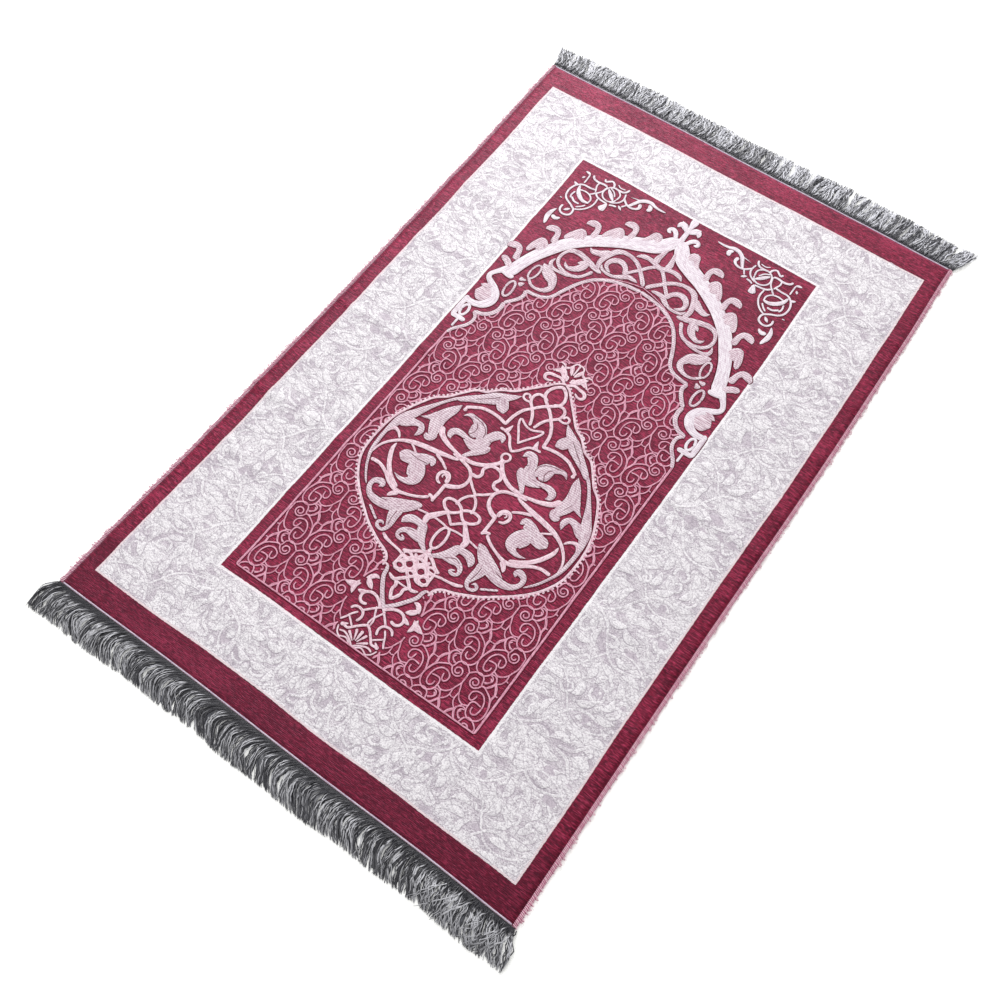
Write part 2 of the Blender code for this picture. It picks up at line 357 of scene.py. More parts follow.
def beyond(x, y, half_width, foot, head):
    """How far a place is outside an upright rectangle; below 0 it is inside."""
    return maths("MAXIMUM", abs(x) - half_width, maths("MAXIMUM", y - head, foot - y))

def in_border(x, y):
    """Whether a place lies in the white border."""
    if abs(x) > BORDER_HALF_WIDTH or not BORDER_FOOT < y < BORDER_HEAD:
        return False
    return abs(x) > FRAME_HALF_WIDTH or not FRAME_FOOT < y < FRAME_HEAD

print("border width:", round((BORDER_HALF_WIDTH - FRAME_HALF_WIDTH) / MM, 1), "mm")

# %% White of the damask
def white_weave(flat, lift=0.0):
    """The damask's white and its height; lift makes it whiter, below 0 greyer."""
    place = add_node(flat.tree, "ShaderNodeMapping", {"Vector": flat, "Scale": (1, 1, 0)})[0]
    speck = cloudy(place, (430, 640, 1), 1.0, 5.0)
    tone = (cloudy(place, (34, 50, 1), 4.0, 6.0) + lift + speck * 0.3).rise(0.46, 0.76)
    white = tint(tone, BORDER_LILAC, BORDER_WHITE)
    relief = tone + speck
    for size, shift, depth in ((80, 2.0, 0.4), (165, 8.0, 0.25)):
        fold = abs(cloudy(place, (size, 1.3 * size, 1), 3.0, shift) - 0.5)
        vein = fold.rise(0.04, 0.004) * depth
        white = tint(vein, white, BORDER_GREY)
        relief = relief - vein
    return tint(speck.rise(0.52, 0.36) * 0.4, white, BORDER_GREY), relief

# %% Ground weave
def make_ground(name, satin, sheen, specular, reverse=False):
    """The ground weave, with the sheen of one of its zones; its reverse has the colours changed over."""
    material = start_finish(name, 0.46, sheen, specular, Sheen_Tint=satin, Specular_Tint=satin)
    flat, x, y, _ = mark(material, "flat")
    slub = cloudy(flat, (95, 900, 1), 2.0)
    fine = cloudy(flat, (150, 820, 1), 1.0, 7.0)
    bright = cloudy(flat, (120, 760, 1), 1.0, 9.0)
    streak = cloudy(flat, (34, 400, 1), 2.0, 4.0)
    patch = cloudy(flat, (9, 14, 1), 3.0, 3.0)
    rib = wave(y, RIB_PITCH, slub * 5.0) * 0.5 + 0.5
    red = tint(slub.rise(0.36, 0.66), BURGUNDY_DEEP, BURGUNDY)
    red = tint(rib * 0.3, red, BURGUNDY_DEEP)
    # The last row darkens the burgundy towards the foot end: painted shade, for the weaker sheen there.
    for noise, low, high, share, dye in (
            (streak, 0.53, 0.63, 0.42, SLUB_PINK), (streak, 0.47, 0.36, 0.8, BURGUNDY_DARK),
            (patch, 0.5, 0.36, 0.65, BURGUNDY_DEEP), (patch, 0.53, 0.68, 0.34, SLUB_PINK),
            (fine, 0.47, 0.60, 0.85, BURGUNDY_DARK), (bright, 0.53, 0.68, 0.75, SLUB_PINK),
            (y, -0.42, -0.49, 0.46, BURGUNDY_DARK)):
        red = tint(noise.rise(low, high) * share, red, dye)
    wobble = cloudy(flat, (260, 260, 1), 1.0, 2.0) * 0.0012 - 0.0036
    wobble = cloudy(flat, (6, 6, 1), 1.0, 12.0) * 0.006 + wobble
    border = beyond(x, y, BORDER_HALF_WIDTH, BORDER_FOOT, BORDER_HEAD) + wobble
    window = beyond(x, y, FRAME_HALF_WIDTH, FRAME_FOOT, FRAME_HEAD) + wobble
    white, relief = white_weave(flat)
    on_line = border.rise(-EDGE_LINE_WIDTH - LINE_BLUR, -EDGE_LINE_WIDTH + LINE_BLUR)
    by_window = window.rise(FRAME_STRIP_WIDTH + LINE_BLUR, FRAME_STRIP_WIDTH - LINE_BLUR)
    white = tint(by_window, tint(on_line, white, EDGE_CREAM), BORDER_WHITE)
    is_white = border.rise(ZONE_BLUR, -ZONE_BLUR) * (1.0 - window.rise(ZONE_BLUR, -ZONE_BLUR))
    faces = (white, red) if reverse else (red, white)
    height = rib * 0.35 + bright - fine
    height = height + (relief - height) * is_white
    return end_finish(material, tint(is_white, *faces), height, 0.0006, 0.8)

ground_finishes = [
    make_ground("burgundy ground", SATIN_PINK, 1.0, 0.62),
    make_ground("white ground", SATIN_WHITE, 0.2, 0.35),
    make_ground("ground reverse", SATIN_WHITE, 0.2, 0.35, reverse=True),
]
print("ground finishes:", [finish.name for finish in ground_finishes])

# %% [markdown]
# ### The raised yarn
# The pale pattern is floated yarn that stands a fraction of a millimetre proud of the ground. Its threads
# run along each leaf and band, with short dull dashes where they dip under. So this finish is drawn out
# along the yarn, not along the rug. Under each pale form lies a slightly wider dark one, for the line of
# deep burgundy that edges it in the weave. It is shifted a little to the side away from the key lamp, so
# it is also a painted shadow.

# %% Yarn finishes
HATCH_PITCH = 0.0031  # from one dark dip to the next across a leaf

def make_yarn(name, light, deep, dash, dashes, sheen=0.3, hatch=0.0, dash_length=0.0045, pitch=1250):
    """Floated yarn: light and deep threads along the stroke, with short dashes of a third colour."""
    material = start_finish(name, 0.55, sheen, 0.35 if sheen else 0.1)
    run = mark(material, "yarn")[0]
    flat, _, y, _ = mark(material, "flat")
    threads = cloudy(run, (0.4 / dash_length, 1.2 * pitch, 60), 2.0)
    specks = cloudy(flat, (820, 820, 1), 1.0, 6.0)
    on_dash = cloudy(run, (1 / dash_length, pitch, 90), 1.0, 4.0).rise(0.53, 0.62) * dashes
    body = tint(threads.rise(0.35, 0.62), colour(*deep), colour(*light))
    dips = wave(y, HATCH_PITCH, threads * 7.0).rise(0.45, 0.95) * hatch
    for share in (specks.rise(0.52, 0.72) * 0.35, dips, on_dash):
        body = tint(share, body, colour(*dash))
    return end_finish(material, body, threads + specks - on_dash, 0.0004, 0.5)

leaf_yarn = make_yarn("leaf yarn", (242, 228, 235), (222, 198, 209), (134, 68, 98), 0.45,
                      hatch=0.62, dash_length=0.009, pitch=950)
arch_yarn = make_yarn("arch yarn", (248, 242, 247), (234, 222, 231), (182, 150, 170), 0.5,
                      hatch=0.3, dash_length=0.008, pitch=950)
strap_yarn = make_yarn("strap yarn", (248, 226, 235), (238, 204, 216), (172, 96, 124), 0.55)
scroll_yarn = make_yarn("scroll yarn", (238, 180, 200), (218, 148, 173), (160, 62, 94), 0.6)
hem_yarn = make_yarn("hem yarn", (226, 212, 226), (196, 178, 200), (140, 110, 136), 0.4)
shade_yarn = make_yarn("shade yarn", (92, 14, 36), (72, 8, 26), (120, 30, 58), 0.4, sheen=0.0)

def make_damask(name, lift, contour):
    """Damask yarn: the ground's own white, lifted or greyed, with a thin grey line around each form."""
    material = start_finish(name, 0.46)
    flat, _, _, across = mark(material, "flat")
    white, relief = white_weave(flat, abs(across).rise(1.0, 0.45) * lift)
    white = tint(abs(across).rise(0.62, 0.9) * contour, white, BORDER_GREY)
    return end_finish(material, white, relief, 0.0006)

border_yarn = make_damask("border yarn", 0.15, 0.7)
# This yarn is painted shadow: a greyer flat ribbon under each border leaf, shifted away from the key lamp.
leaf_shadow_yarn = make_damask("leaf shadow yarn", -0.22, 0.0)
print("yarn finishes:", len([m for m in bpy.data.materials if "yarn" in m.name]))

# %% [markdown]
# ## The cloth
# A plane with a picture would have no thickness and no folds. The cloth is a closed thin sheet instead: a
# net of points on the creases' own rows, once for the top and once for the underside. The rows crowd
# around each crease, so its ridge stays smooth, and the margins are pressed thin under the bindings.

# %% Net of the cloth
ACROSS_STEP = 0.0072
LONGEST_ROW_STEP = 0.0075
CREASE_STEPS = 12
REVERSE_SHIFT = RUG_WIDTH * 1.02  # where the underside lies beside the top in the flat map

def cloth_rows():
    """Rows of the net from foot to head, each as its place on the left and the right edge."""
    rows = [(-HALF_LENGTH, -HALF_LENGTH), (BORDER_FOOT, BORDER_FOOT)]
    for left, right, _, _, _, reach in CREASES:
        steps = [reach * (2 * i / CREASE_STEPS - 1) for i in range(CREASE_STEPS + 1)]
        rows += [(left + step, right + step) for step in steps]
    rows += [(FRAME_HEAD, FRAME_HEAD), (BORDER_HEAD, BORDER_HEAD), (HALF_LENGTH, HALF_LENGTH)]
    filled = rows[:1]
    for row in rows[1:]:
        last = filled[-1]
        parts = max(1, math.ceil((row[0] - last[0]) / LONGEST_ROW_STEP))
        for part in range(1, parts + 1):
            filled.append(tuple(a + (b - a) * part / parts for a, b in zip(last, row)))
    return filled

def along_row(left, right, x):
    """How far along the rug a slanting row is, at a place across it."""
    return left + (right - left) * (x / HALF_WIDTH + 1) / 2

def cloth_columns():
    """Columns of the net, each with the height of its underside and of its top over the lift."""
    tongue_tip = HALF_WIDTH - BINDING_BACK - CLEARANCE
    shoulder = HALF_WIDTH - BINDING_WIDTH - 2 * CLEARANCE
    stops = [FRAME_HALF_WIDTH, BORDER_HALF_WIDTH, shoulder]
    stops = [-stop for stop in reversed(stops)] + stops
    inner = stops[:1]
    for near, far in zip(stops, stops[1:]):
        parts = math.ceil((far - near) / ACROSS_STEP)
        inner += [near + (far - near) * part / parts for part in range(1, parts + 1)]
    low = BINDING_WALL + CLEARANCE
    thin = [(x, low, BINDING_HEIGHT - low) for x in (-tongue_tip, -shoulder - CLEARANCE)]
    return thin + [(x, 0.0, CLOTH_THICKNESS) for x in inner] + [(-x, a, b) for x, a, b in reversed(thin)]

print("net of the cloth:", len(cloth_columns()), "by", len(cloth_rows()))

# %% Lay the cloth
def make_cloth():
    """Both sides of the cloth and the walls between them, as one closed sheet."""
    columns, rows = cloth_columns(), cloth_rows()
    width, length = len(columns), len(rows)
    work = Work()
    for side in (1, 0):
        for left, right in rows:
            for x, low, high in columns:
                y = along_row(left, right, x)
                swell = puff(x, y) if side and high == CLOTH_THICKNESS else 0.0
                height = high + swell if side else low
                work.add((*lie(x, y), crease_lift(x, y) + height), (x, y, side))
        work.join(length, width, over=not side)
    half = width * length
    rim = list(range(width)) + [row * width + width - 1 for row in range(1, length)]
    rim += [half - 1 - column for column in range(1, width)]
    rim += [(length - 1 - row) * width for row in range(1, length - 1)]
    work.faces += [(b, a, a + half, b + half) for a, b in zip(rim, rim[1:] + rim[:1])]
    work.paint = []
    for face in work.faces:
        middle = [sum(work.flat[i][axis] for i in face) / len(face) for axis in (0, 1)]
        work.paint.append(2 if min(face) >= half else 1 if in_border(*middle) else 0)
    cloth = add_piece("woven_cloth", work, ground_finishes)
    map_flat(cloth, [(x + (0 if side else REVERSE_SHIFT), y) for x, y, side in work.flat])
    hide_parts("rug_cloth")
    return cloth

cloth = report(make_cloth())

# %% [markdown]
# ## Draw with yarn
# The ornament is drawn as a pattern drawer would: in strokes. A stroke is a smooth curve through a few
# points, with a width that follows a named form - an even line, a tail that runs to a point, a leaf, a
# bud. Each becomes a low rounded ridge of floated yarn on the cloth. Curves with bevels could do it too,
# but a mesh lets each stroke follow the creases and keep its marks. Sizes in the charts are millimetres.

# %% Smooth curves
def smooth_line(points, step):
    """A curve through points of x, y and width, as fine points and the distance along it to each."""
    ends = [points[0], *points, points[-1]]
    fine = []
    for before, start, end, after in zip(ends, ends[1:], ends[2:], ends[3:]):
        parts = max(2, math.ceil(math.dist(start[:2], end[:2]) / step * 2))
        for part in range(parts):
            t = part / parts
            fine.append(tuple(
                0.5 * (2 * b + (c - a) * t + (2 * a - 5 * b + 4 * c - d) * t * t
                       + (3 * b - a - 3 * c + d) * t ** 3)
                for a, b, c, d in zip(before, start, end, after)))
    fine.append(tuple(points[-1]))
    run = [0.0]
    for a, b in zip(fine, fine[1:]):
        run.append(run[-1] + math.dist(a[:2], b[:2]))
    return fine, run

def at_distance(fine, run, distance, hint=0):
    """The point of a curve that lies a distance along it, and where to look next."""
    while hint < len(run) - 2 and run[hint + 1] < distance:
        hint += 1
    span = run[hint + 1] - run[hint]
    share = (distance - run[hint]) / span if span > 0 else 0.0
    return tuple(a + (b - a) * share for a, b in zip(fine[hint], fine[hint + 1])), hint

def sideways(line, index):
    """The direction across a line at one of its points."""
    before, after = line[max(0, index - 1)], line[min(len(line) - 1, index + 1)]
    away = math.dist(before[:2], after[:2]) or 1.0
    return -(after[1] - before[1]) / away, (after[0] - before[0]) / away

print("a straight 10 mm line has", len(smooth_line(((0, 0, 1), (10, 0, 1)), 2.0)[0]), "fine points")

# %% Curls and rings
CURL_PARTS = 9  # for a full turn
RING_PARTS = 12

def curl(x, y, radius, start, turns, inner):
    """Points of a curl that winds in on (x, y); turns is below 0 for a clockwise one."""
    steps = max(4, round(abs(turns) * CURL_PARTS))
    points = []
    for i in range(steps + 1):
        share = i / steps
        angle = math.radians(start + 360 * turns * share)
        reach = radius * (1 - (1 - inner) * share)
        points.append((x + reach * math.cos(angle), y + reach * math.sin(angle)))
    return points

def turned(x, y, slope):
    """A way to set points down at a place and a slope."""
    cos, sin = math.cos(math.radians(slope)), math.sin(math.radians(slope))
    return lambda u, v: (x + u * cos - v * sin, y + u * sin + v * cos)

def ring(x, y, across, along, turn=0.0):
    """Points of a closed ring or almond."""
    place = turned(x, y, turn)
    angles = [2 * math.pi * i / RING_PARTS for i in range(RING_PARTS + 1)]
    return [place(across * math.cos(angle), along * math.sin(angle)) for angle in angles]

print("a curl of one and a half turns has", len(curl(0, 0, 5, 0, 1.5, 0.2)), "points")

# %% Read a chart
def places(words):
    """Points that are written as x,y or x,y,own width."""
    return [tuple(float(number) for number in word.split(",")) for word in words.split()]

def chart(text):
    """Strokes of a form, a width and points; a ring has its middle and radii, six numbers are a curl."""
    strokes = []
    for word in text.split():
        if word.isalpha():
            strokes.append((word, []))
        else:
            strokes[-1][1].extend(places(word))
    lines = []
    for form, ((width,), *points) in strokes:
        if form == "ring":
            lines.append(("line", width, ring(*sum(points, ()))))
            continue
        line = []
        for point in points:
            line += curl(*point) if len(point) == 6 else [point]
        lines.append((form, width, line))
    return lines

print("a chart reads as", chart("leaf 5 0,0 4,3 6,8,2"))

# %% Forms of a stroke, by the share of its length
FORMS = {
    "line": lambda s: 1.0,
    "tail": lambda s: (1.0 - s) ** 0.7,
    "bud": lambda s: 0.4 + 0.6 * s * s * (3 - 2 * s),
    "leaf": lambda s: max(0.0, math.sin(math.pi * s)) ** 0.7,
    "swell": lambda s: 0.45 + 0.55 * math.sin(math.pi * s),
}
WIDE_SECTION = ((-1.0, -0.3), (-0.84, 0.72), (-0.4, 0.95), (0.0, 1.0), (0.4, 0.95), (0.84, 0.72), (1.0, -0.3))
SOFT_SECTION = ((-1.0, -0.3), (-0.8, 0.75), (0.0, 1.0), (0.8, 0.75), (1.0, -0.3))
THIN_SECTION = ((-1.0, -0.3), (-0.6, 0.9), (0.6, 0.9), (1.0, -0.3))
FLAT_SECTION = ((-1.0, 1.0), (1.0, 1.0))
BROAD_FLAT_SECTION = ((-1.0, 1.0), (-0.35, 1.0), (0.35, 1.0), (1.0, 1.0))
THIN_WIDTH = 2.6

def section_of(width, flat, soft):
    """The section of a stroke: flat for a dark edge, and plainer for a thin or a soft one."""
    if flat:
        return FLAT_SECTION if soft or width < 2 * THIN_WIDTH else BROAD_FLAT_SECTION
    if width < THIN_WIDTH:
        return THIN_SECTION
    return SOFT_SECTION if soft else WIDE_SECTION

print("forms of a stroke:", ", ".join(FORMS))

# %% Lay a stroke
LEAST_STEP = 0.05  # how far each row of a stroke is ahead of the last
SOFT_STEP, THIN_STEP, WIDE_STEP = 3.0, 1.75, 2.0
SHADE_RISE = 0.10
LEAST_RISE, RISE_SHARE, BROADEST_RISE = 0.26, 0.025, 10
LEAST_HALF = 0.12
TIP_ROWS = (0.12, 0.45)  # the extra rows that round a tip

def lay_run(work, samples, section, paint, seed):
    """Turn samples of x, y, half width, rise and distance into one ridge on the cloth.

    On the inside of a tight bend the edge waits, so that the yarn doesn't fold over itself.
    """
    width = len(section)
    for index, (x, y, half, rise, distance) in enumerate(samples):
        side_x, side_y = sideways(samples, index)
        for across, height in section:
            px, py = (x + side_x * half * across) * MM, (y + side_y * half * across) * MM
            if index:
                last_x, last_y, _ = work.flat[-width]
                wait = LEAST_STEP * MM - (px - last_x) * side_y + (py - last_y) * side_x
                if wait > 0:
                    px, py = px + side_y * wait, py - side_x * wait
            yarn = (distance * MM, half * across * MM, seed)
            work.add(on_cloth(px, py, height * rise * MM), (px, py, across), yarn)
    work.join(len(samples), width, paint)

def draw(work, form, width, points, paint=0, keep=None, flat=False, spread=0.0, shift=(0.0, 0.0), proud=1.0,
         soft=False):
    """Draw one stroke; points are (x, y) or (x, y, own width), in millimetres."""
    points = [(*p[:2], p[2] if len(p) > 2 else width) for p in points]
    broad = max(p[2] for p in points)
    step = SOFT_STEP if soft else THIN_STEP if broad < THIN_WIDTH else WIDE_STEP
    fine, run = smooth_line(points, step)
    length = run[-1]
    work.strokes += 1
    seed = work.strokes * 0.137 % 1.0
    crown = (LEAST_RISE + RISE_SHARE * min(broad, BROADEST_RISE)) * (1 + 0.18 * seed)
    rise = SHADE_RISE if flat else crown * proud
    count = max(3, math.ceil(length / step))
    stops = [length * i / count for i in range(count + 1)]
    tip = min(broad * 0.5, length * 0.3)
    for share in TIP_ROWS:
        stops += [tip * share, length - tip * share]
    hint = 0
    runs = [[]]
    for distance in sorted(set(stops)):
        (x, y, own), hint = at_distance(fine, run, distance, hint)
        half = own / 2 * FORMS[form](distance / length)
        edge = min(distance, length - distance)
        if edge < tip:
            half *= math.sqrt(max(0.02, 1 - (1 - edge / tip) ** 2))
        if keep is None or keep(x, y):
            runs[-1].append((x + shift[0], y + shift[1], max(LEAST_HALF, half) + spread, rise, distance))
        else:
            runs.append([])
    for samples in runs:
        if len(samples) > 1:
            lay_run(work, samples, section_of(broad, flat, soft), paint, seed)

# %% Lay a chart
# The dark edge is shifted towards +x and -y, away from the key lamp, as a painted shadow; edge scales the
# shift.
SHADE_SHIFT = (0.35, -0.45)

def draw_chart(work, strokes, paint=0, shade=None, keep=None, both=True, spread=0.7, place=None, edge=1.0,
               proud=1.0, slim=1.0, soft=False):
    """Draw every stroke of a chart, on both sides of the middle, with its dark edge and painted shadow if
    shade is given.
    """
    shift = [side * edge for side in SHADE_SHIFT]
    for form, width, points in strokes:
        spots = [place(*p[:2]) if place else p[:2] for p in points]
        right = [(*spot, *(own * slim for own in p[2:])) for spot, p in zip(spots, points)]
        left = [(-x, *more) for x, *more in right]
        for line in ((right, left) if both else (right,)):
            if shade is not None:
                draw(work, form, width * slim, line, shade, keep, True, spread, shift, soft=soft)
            draw(work, form, width * slim, line, paint, keep, proud=proud, soft=soft)

def finish_yarn(name, work, materials):
    """Make the piece of what has been drawn."""
    piece = add_piece(name, work, materials)
    map_flat(piece, work.flat)
    print(name, "strokes:", work.strokes)
    return report(piece)

# %% [markdown]
# ## The inner field
# The field behind the medallion is a net of fine pink scrolls. It is one small repeat: from each node a
# pair of curls opens, a long sweep runs to the next axis and curls back, and thin stems join them. The
# repeat is charted once, to the right of its node, and is set out on rows that are half dropped, mirrored
# about every axis. A test keeps the lines inside the field and off the medallion.

# %% The field's repeat
AXIS_STEP = 45.75
ROW_STEP = 105.6
ROW_START = -297.0
SCROLL_REPEAT = chart("""
    line 2.3 0,6 5.5,11 12.6,13.5 18.5,10 20.5,4 22,1 27,1 38.6,-6 43.3,-15 45.4,-22 45.4,-29 43,-36
        38,-40 32,-41 27,-38.5 23.6,-34 22.6,-28 23,-23 25.5,-20 30,-19.5 36,-20.6
    line 2.3 22,1 19.5,-3.5 12.6,0,7.6,-25,-1.45,0.3
    line 2.3 28,-26 28.3,-31 32,-34 36.4,-31.5 38,-23 36.6,-15 32.6,-9 27.6,-6.5 21.6,-7.2 17,-11
        16.6,-17 19,-20.2 22.4,-20 24,-16 24.6,-11.5
    line 2.2 0,7 0,-8 2.6,-16 6,-24 11,-29 16.6,-30.4 22.6,-28
    line 2.1 4.4,-21 3.8,-30 6.4,-36 10.6,-40 13.8,-46.4 17.6,-50.4 23.6,-51.4
    line 2.1 16.6,-30.4 13.4,-35 10.6,-40 5.8,-46 3.8,-53 4.4,-60 1.4,-69 0,-76
    line 2.1 22.8,-34.5 18.6,-35.6 16.8,-40 19.6,-44.4 23.4,-47.4
    line 2.1 27,1.2 31,7 33.6,12.6 32,18 27,20.6 21,19
    line 2.1 21,6.6 25,8 28,11.6 25.6,15.4
    line 2 4.4,-29 0,-30.6
    line 2 33.6,12.6 38.4,6 41,1 45.7,0.4
    line 2 41,1 40.4,-6 43.3,-15
""")
print("strokes of the field's repeat:", len(SCROLL_REPEAT))

# %% The edges that the field's lines keep to
MEDALLION_EDGE = places("""
    0,62 10,56 20,45 34,30 50,13 66,3 80,-11 94,-17 105,-29 119,-47 133,-59 142,-73 151,-91 158,-109
    162,-129 163,-150 162,-170 158,-187 149,-204 137,-219 122,-233 105,-246 90,-257 75,-265 60,-272
    46,-277 38,-284 36,-294
""")
FIELD_EDGE = places("""
    0,252 20,249.5 40,244.5 58,236 70,226 79.5,213 87,199 93,185 99,171 108,163 121,159 135,158
""")
FIELD_STEPS = places("""
    135,158 132.5,149 136,139.5 143,130.5 149,123.5 147.5,113 149.5,103 156,94 165,88.5 175,86.5
    168,80 167,70 170,61 176,53 182,45 185.5,36
""")
FIELD_HALF_WIDTH = 185.8
FIELD_FOOT = -401.0

def closed(right):
    """An edge of the right half, closed into the outline of both halves."""
    return right + [(-x, y) for x, y in reversed(right)]

MEDALLION = closed(MEDALLION_EDGE + places("27,-300 12,-327 1,-337"))
FIELD = closed(FIELD_EDGE + FIELD_STEPS + [(FIELD_HALF_WIDTH, 36), (FIELD_HALF_WIDTH, FIELD_FOOT)])
PENDANT = closed(places("36,-300 50,-330 49,-348 34,-372 30,-401"))
FINIAL = closed(places("0,98 14,92 28,72 33,62 30,52"))

def inside(outline, x, y):
    """Whether a place is inside a closed outline."""
    found = False
    for (ax, ay), (bx, by) in zip(outline, outline[1:] + outline[:1]):
        if (ay > y) != (by > y) and x < ax + (y - ay) / (by - ay) * (bx - ax):
            found = not found
    return found

def in_field(x, y):
    """Where the field's scrolls show."""
    return inside(FIELD, x, y) and not any(inside(outline, x, y) for outline in (MEDALLION, PENDANT, FINIAL))

print("middle of the rug is in the field:", in_field(0.0, 0.0))

# %% Draw the field
FIELD_SPREAD = 0.55
# The field's dark edges are shifted the same way, away from the key lamp, as a painted shadow.
FIELD_SHIFT = (0.5, -0.6)

def draw_field():
    """Lay the repeat from every node, to both sides of its axis."""
    work = Work()
    for axis in range(-4, 5):
        for row in range(-2, 7):
            node_x = axis * AXIS_STEP
            node_y = ROW_START + ROW_STEP * (row + (0.5 if axis % 2 else 0.0))
            for side in (-1, 1):
                if abs(node_x + side * AXIS_STEP / 2) > FIELD_HALF_WIDTH:
                    continue
                for form, width, points in SCROLL_REPEAT:
                    line = [(node_x + side * x, node_y + y) for x, y in points]
                    if any(inside(FIELD, x, y) for x, y in line):
                        draw(work, form, width, line, 1, in_field, True, FIELD_SPREAD, FIELD_SHIFT)
                        draw(work, form, width, line, 0, in_field)
    return finish_yarn("field_scrolls", work, [scroll_yarn, shade_yarn])

field_scrolls = draw_field()

# %% [markdown]
# ## The niche
# The niche is what makes this a prayer rug. A broad nearly white band forms the arch and ends in a leafy
# finial. Hooks and low fins grow along its outer side, and each foot stands on a vase-like capital. The
# hooks are one small group that is turned to the arch's slope at each place.

# %% Outline of the field
SIDE_LINE = 186
FIELD_OUTLINE = (
    ("line", 6.0, FIELD_EDGE),
    ("line", 6.4, FIELD_STEPS[:5]),
    ("line", 7.0, FIELD_STEPS[4:10]),
    ("line", 5.6, FIELD_STEPS[9:]),
    ("line", 1.8, [(x, y + 7.5 - x / 12) for x, y in FIELD_EDGE[:5]]),
    ("line", 3.2, [(SIDE_LINE, y) for y in range(38, -402, -40)] + [(SIDE_LINE, FIELD_FOOT)]),
    ("line", 2.4, [(x, FIELD_FOOT) for x in range(-6, 190, 32)]),
)
print("lines around the field:", len(FIELD_OUTLINE))

# %% The arch, its finial and its hooks
ARCH_BAND = chart("""
    line 22 -4,358,20 6,355,22 14,343.5,25 25,333,27 44.5,323.4,27 64.5,314,25 85,302,24 105.5,287.5,22.5
        124,270.5,21.5 136.7,256.5,21 146.8,240,20.5 158,220,20 166,200,20 171.5,180,20.5 173.5,166,21
    line 9 163,166.5 172,166 184,169
""")
FINIAL_LEAVES = chart("""
    line 9 0,352,12 0,366,9 0,380,8 -0.5,392,9
    bud 10 -1,386 -1.5,398 -2,408
    line 7 7,356,6 10,364,7 13.5,370.5,8 19,374.5,8 24,372.5,7 24.5,368,6 19.5,366.5,5
    line 9 1,380,6 6,386.5,9 11,391,10 15.5,388,9 17.5,381.5,4
    leaf 9 5,381 9,387 16,396
    bud 5 1,396 3,399 4.5,402
""")
HOOK = chart("""
    line 8 2,-9,13 3,1,10 4,8.5,9 8,14.5,11 15,15,13 21,11.5,10 24,7.5,4
""")
HOOK_PLACES = ((61, 329, 8), (107, 300, 2), (150, 259, -2), (179, 203, -6))
FIN = chart("""
    line 9 -9,-18,9 -5,-9,10 0,-4.5,10 4.5,-10,11 10,-20,11 15,-31,7
    line 14 0,-24,18 0,-16,13 0,-9,8
""")
FIN_PLACES = ((83, 332, 2), (128, 298, 0), (167.5, 251, -12))
LOW_FIN = chart("""
    line 14 27,340,14 31,350,13 35.5,350,11 39.5,341,9 47,331,6
    line 11 178,178,10 185,184,11 192,188,11 199,189,10
""")
print("hooks and fins on each side:", len(HOOK_PLACES) + len(FIN_PLACES))

# %% Capital and foot of the arch
CAPITAL = chart("""
    line 9 175,182,12 183,170,11 189.5,161,8.5 193.5,153,8 192,146.5,8.5 185,141.5,10 176,136,12 169,129,14
        165.5,120,15 167,110.5,15 173,102.5,13 183,98,11 194,98,10 201,99,8
    line 8 197,104 197.5,90 197.5,76 197,64
    ring 4.6 187.5,81 5,10
    line 8 176,65.5 188,66 199.5,65.5
    line 4 186,64 186,56 186,48
""")
CAPITAL_LEAF = chart("""
    line 26 170,119,14 179,119,27 188,118.5,26 195,118,14
    leaf 10 177,136 186,132.5 195,130.5
""")
print("strokes of a capital:", len(CAPITAL + CAPITAL_LEAF))

# %% Scrolls between the arch and the field
SPANDREL = chart("""
    line 8 5.5,340,3 7.5,331,5.5 9.5,322,8 10.5,314,10 8,307,10
    line 8 -3,302,9 5,304,9 13,307,8 22,308.5,8 30,307,8 35.5,303.5,5 38,300.5,2
    line 6 2,303 9,298 16,290 22,282 29,273.5 35,266
    line 7 2,261,7 8,269,7 16,278,7 24,286.5,7 34,293,7 45,296.5,7 56,296.5,8 65,292,10 71,283,10
        74.5,272,9 76,260,8 72,248,6
    line 12 70,285,13 78,278,14 86,273.5,11.5 94,271.5,10 98,272.5,6 101.5,275.5,2
    line 9 35,262,8 38,271,8 44,277.5,9 52,279.5,10 60,276.5,10 65,269,8 65,261.5,7 60,256.5,5 54,254.5,3
    line 7 12,261.5,3 21,263,7 30,262,9 38,256,8 47,251.5,5.5 57,250.5,5 67,253,5 71,259,3
    line 7 64,245.5,6 76,248,9 88,252,9.5 100,255.5,9 111,257,9 121,254.5,7.5 126.5,247.5,5.5 129,238.5,5.5
        127.5,229,6 121.5,222,6 112,217.5,6.5 101,216.8,6.5 91,219.5,6 84,225,5.5 79.6,232,5.5 75,241,7
    line 10 91,252,8 91,243,12 95,234.5,12 101,229,9.5 108.5,226.3,7 114,228.3,5 117.5,233,2.5
    leaf 9 84,246 94,246 102,241
    line 5.5 98,215.5,6 112,213,5 124,213,5.5 131.5,216,7 134,222,5.5 132,230,2
    line 13 141,213,4 136.5,209.5,12 128,204,15 118,198.5,16 112,190.5,13 109,183,10 112,176,9.5 119,171,7
        127,169,5 135,170.5,4.5 141,175,5 147,181,4
    leaf 9 113,189 124,195 136,200
    ring 3.4 143.5,192.5 6,14 4
    bud 9 145,173 149,171.5 155,171
    bud 10 144,167 147,163.5 150,160
    ring 4 157,147 6,14.5 -3
""")
print("strokes between the arch and the field:", len(SPANDREL))

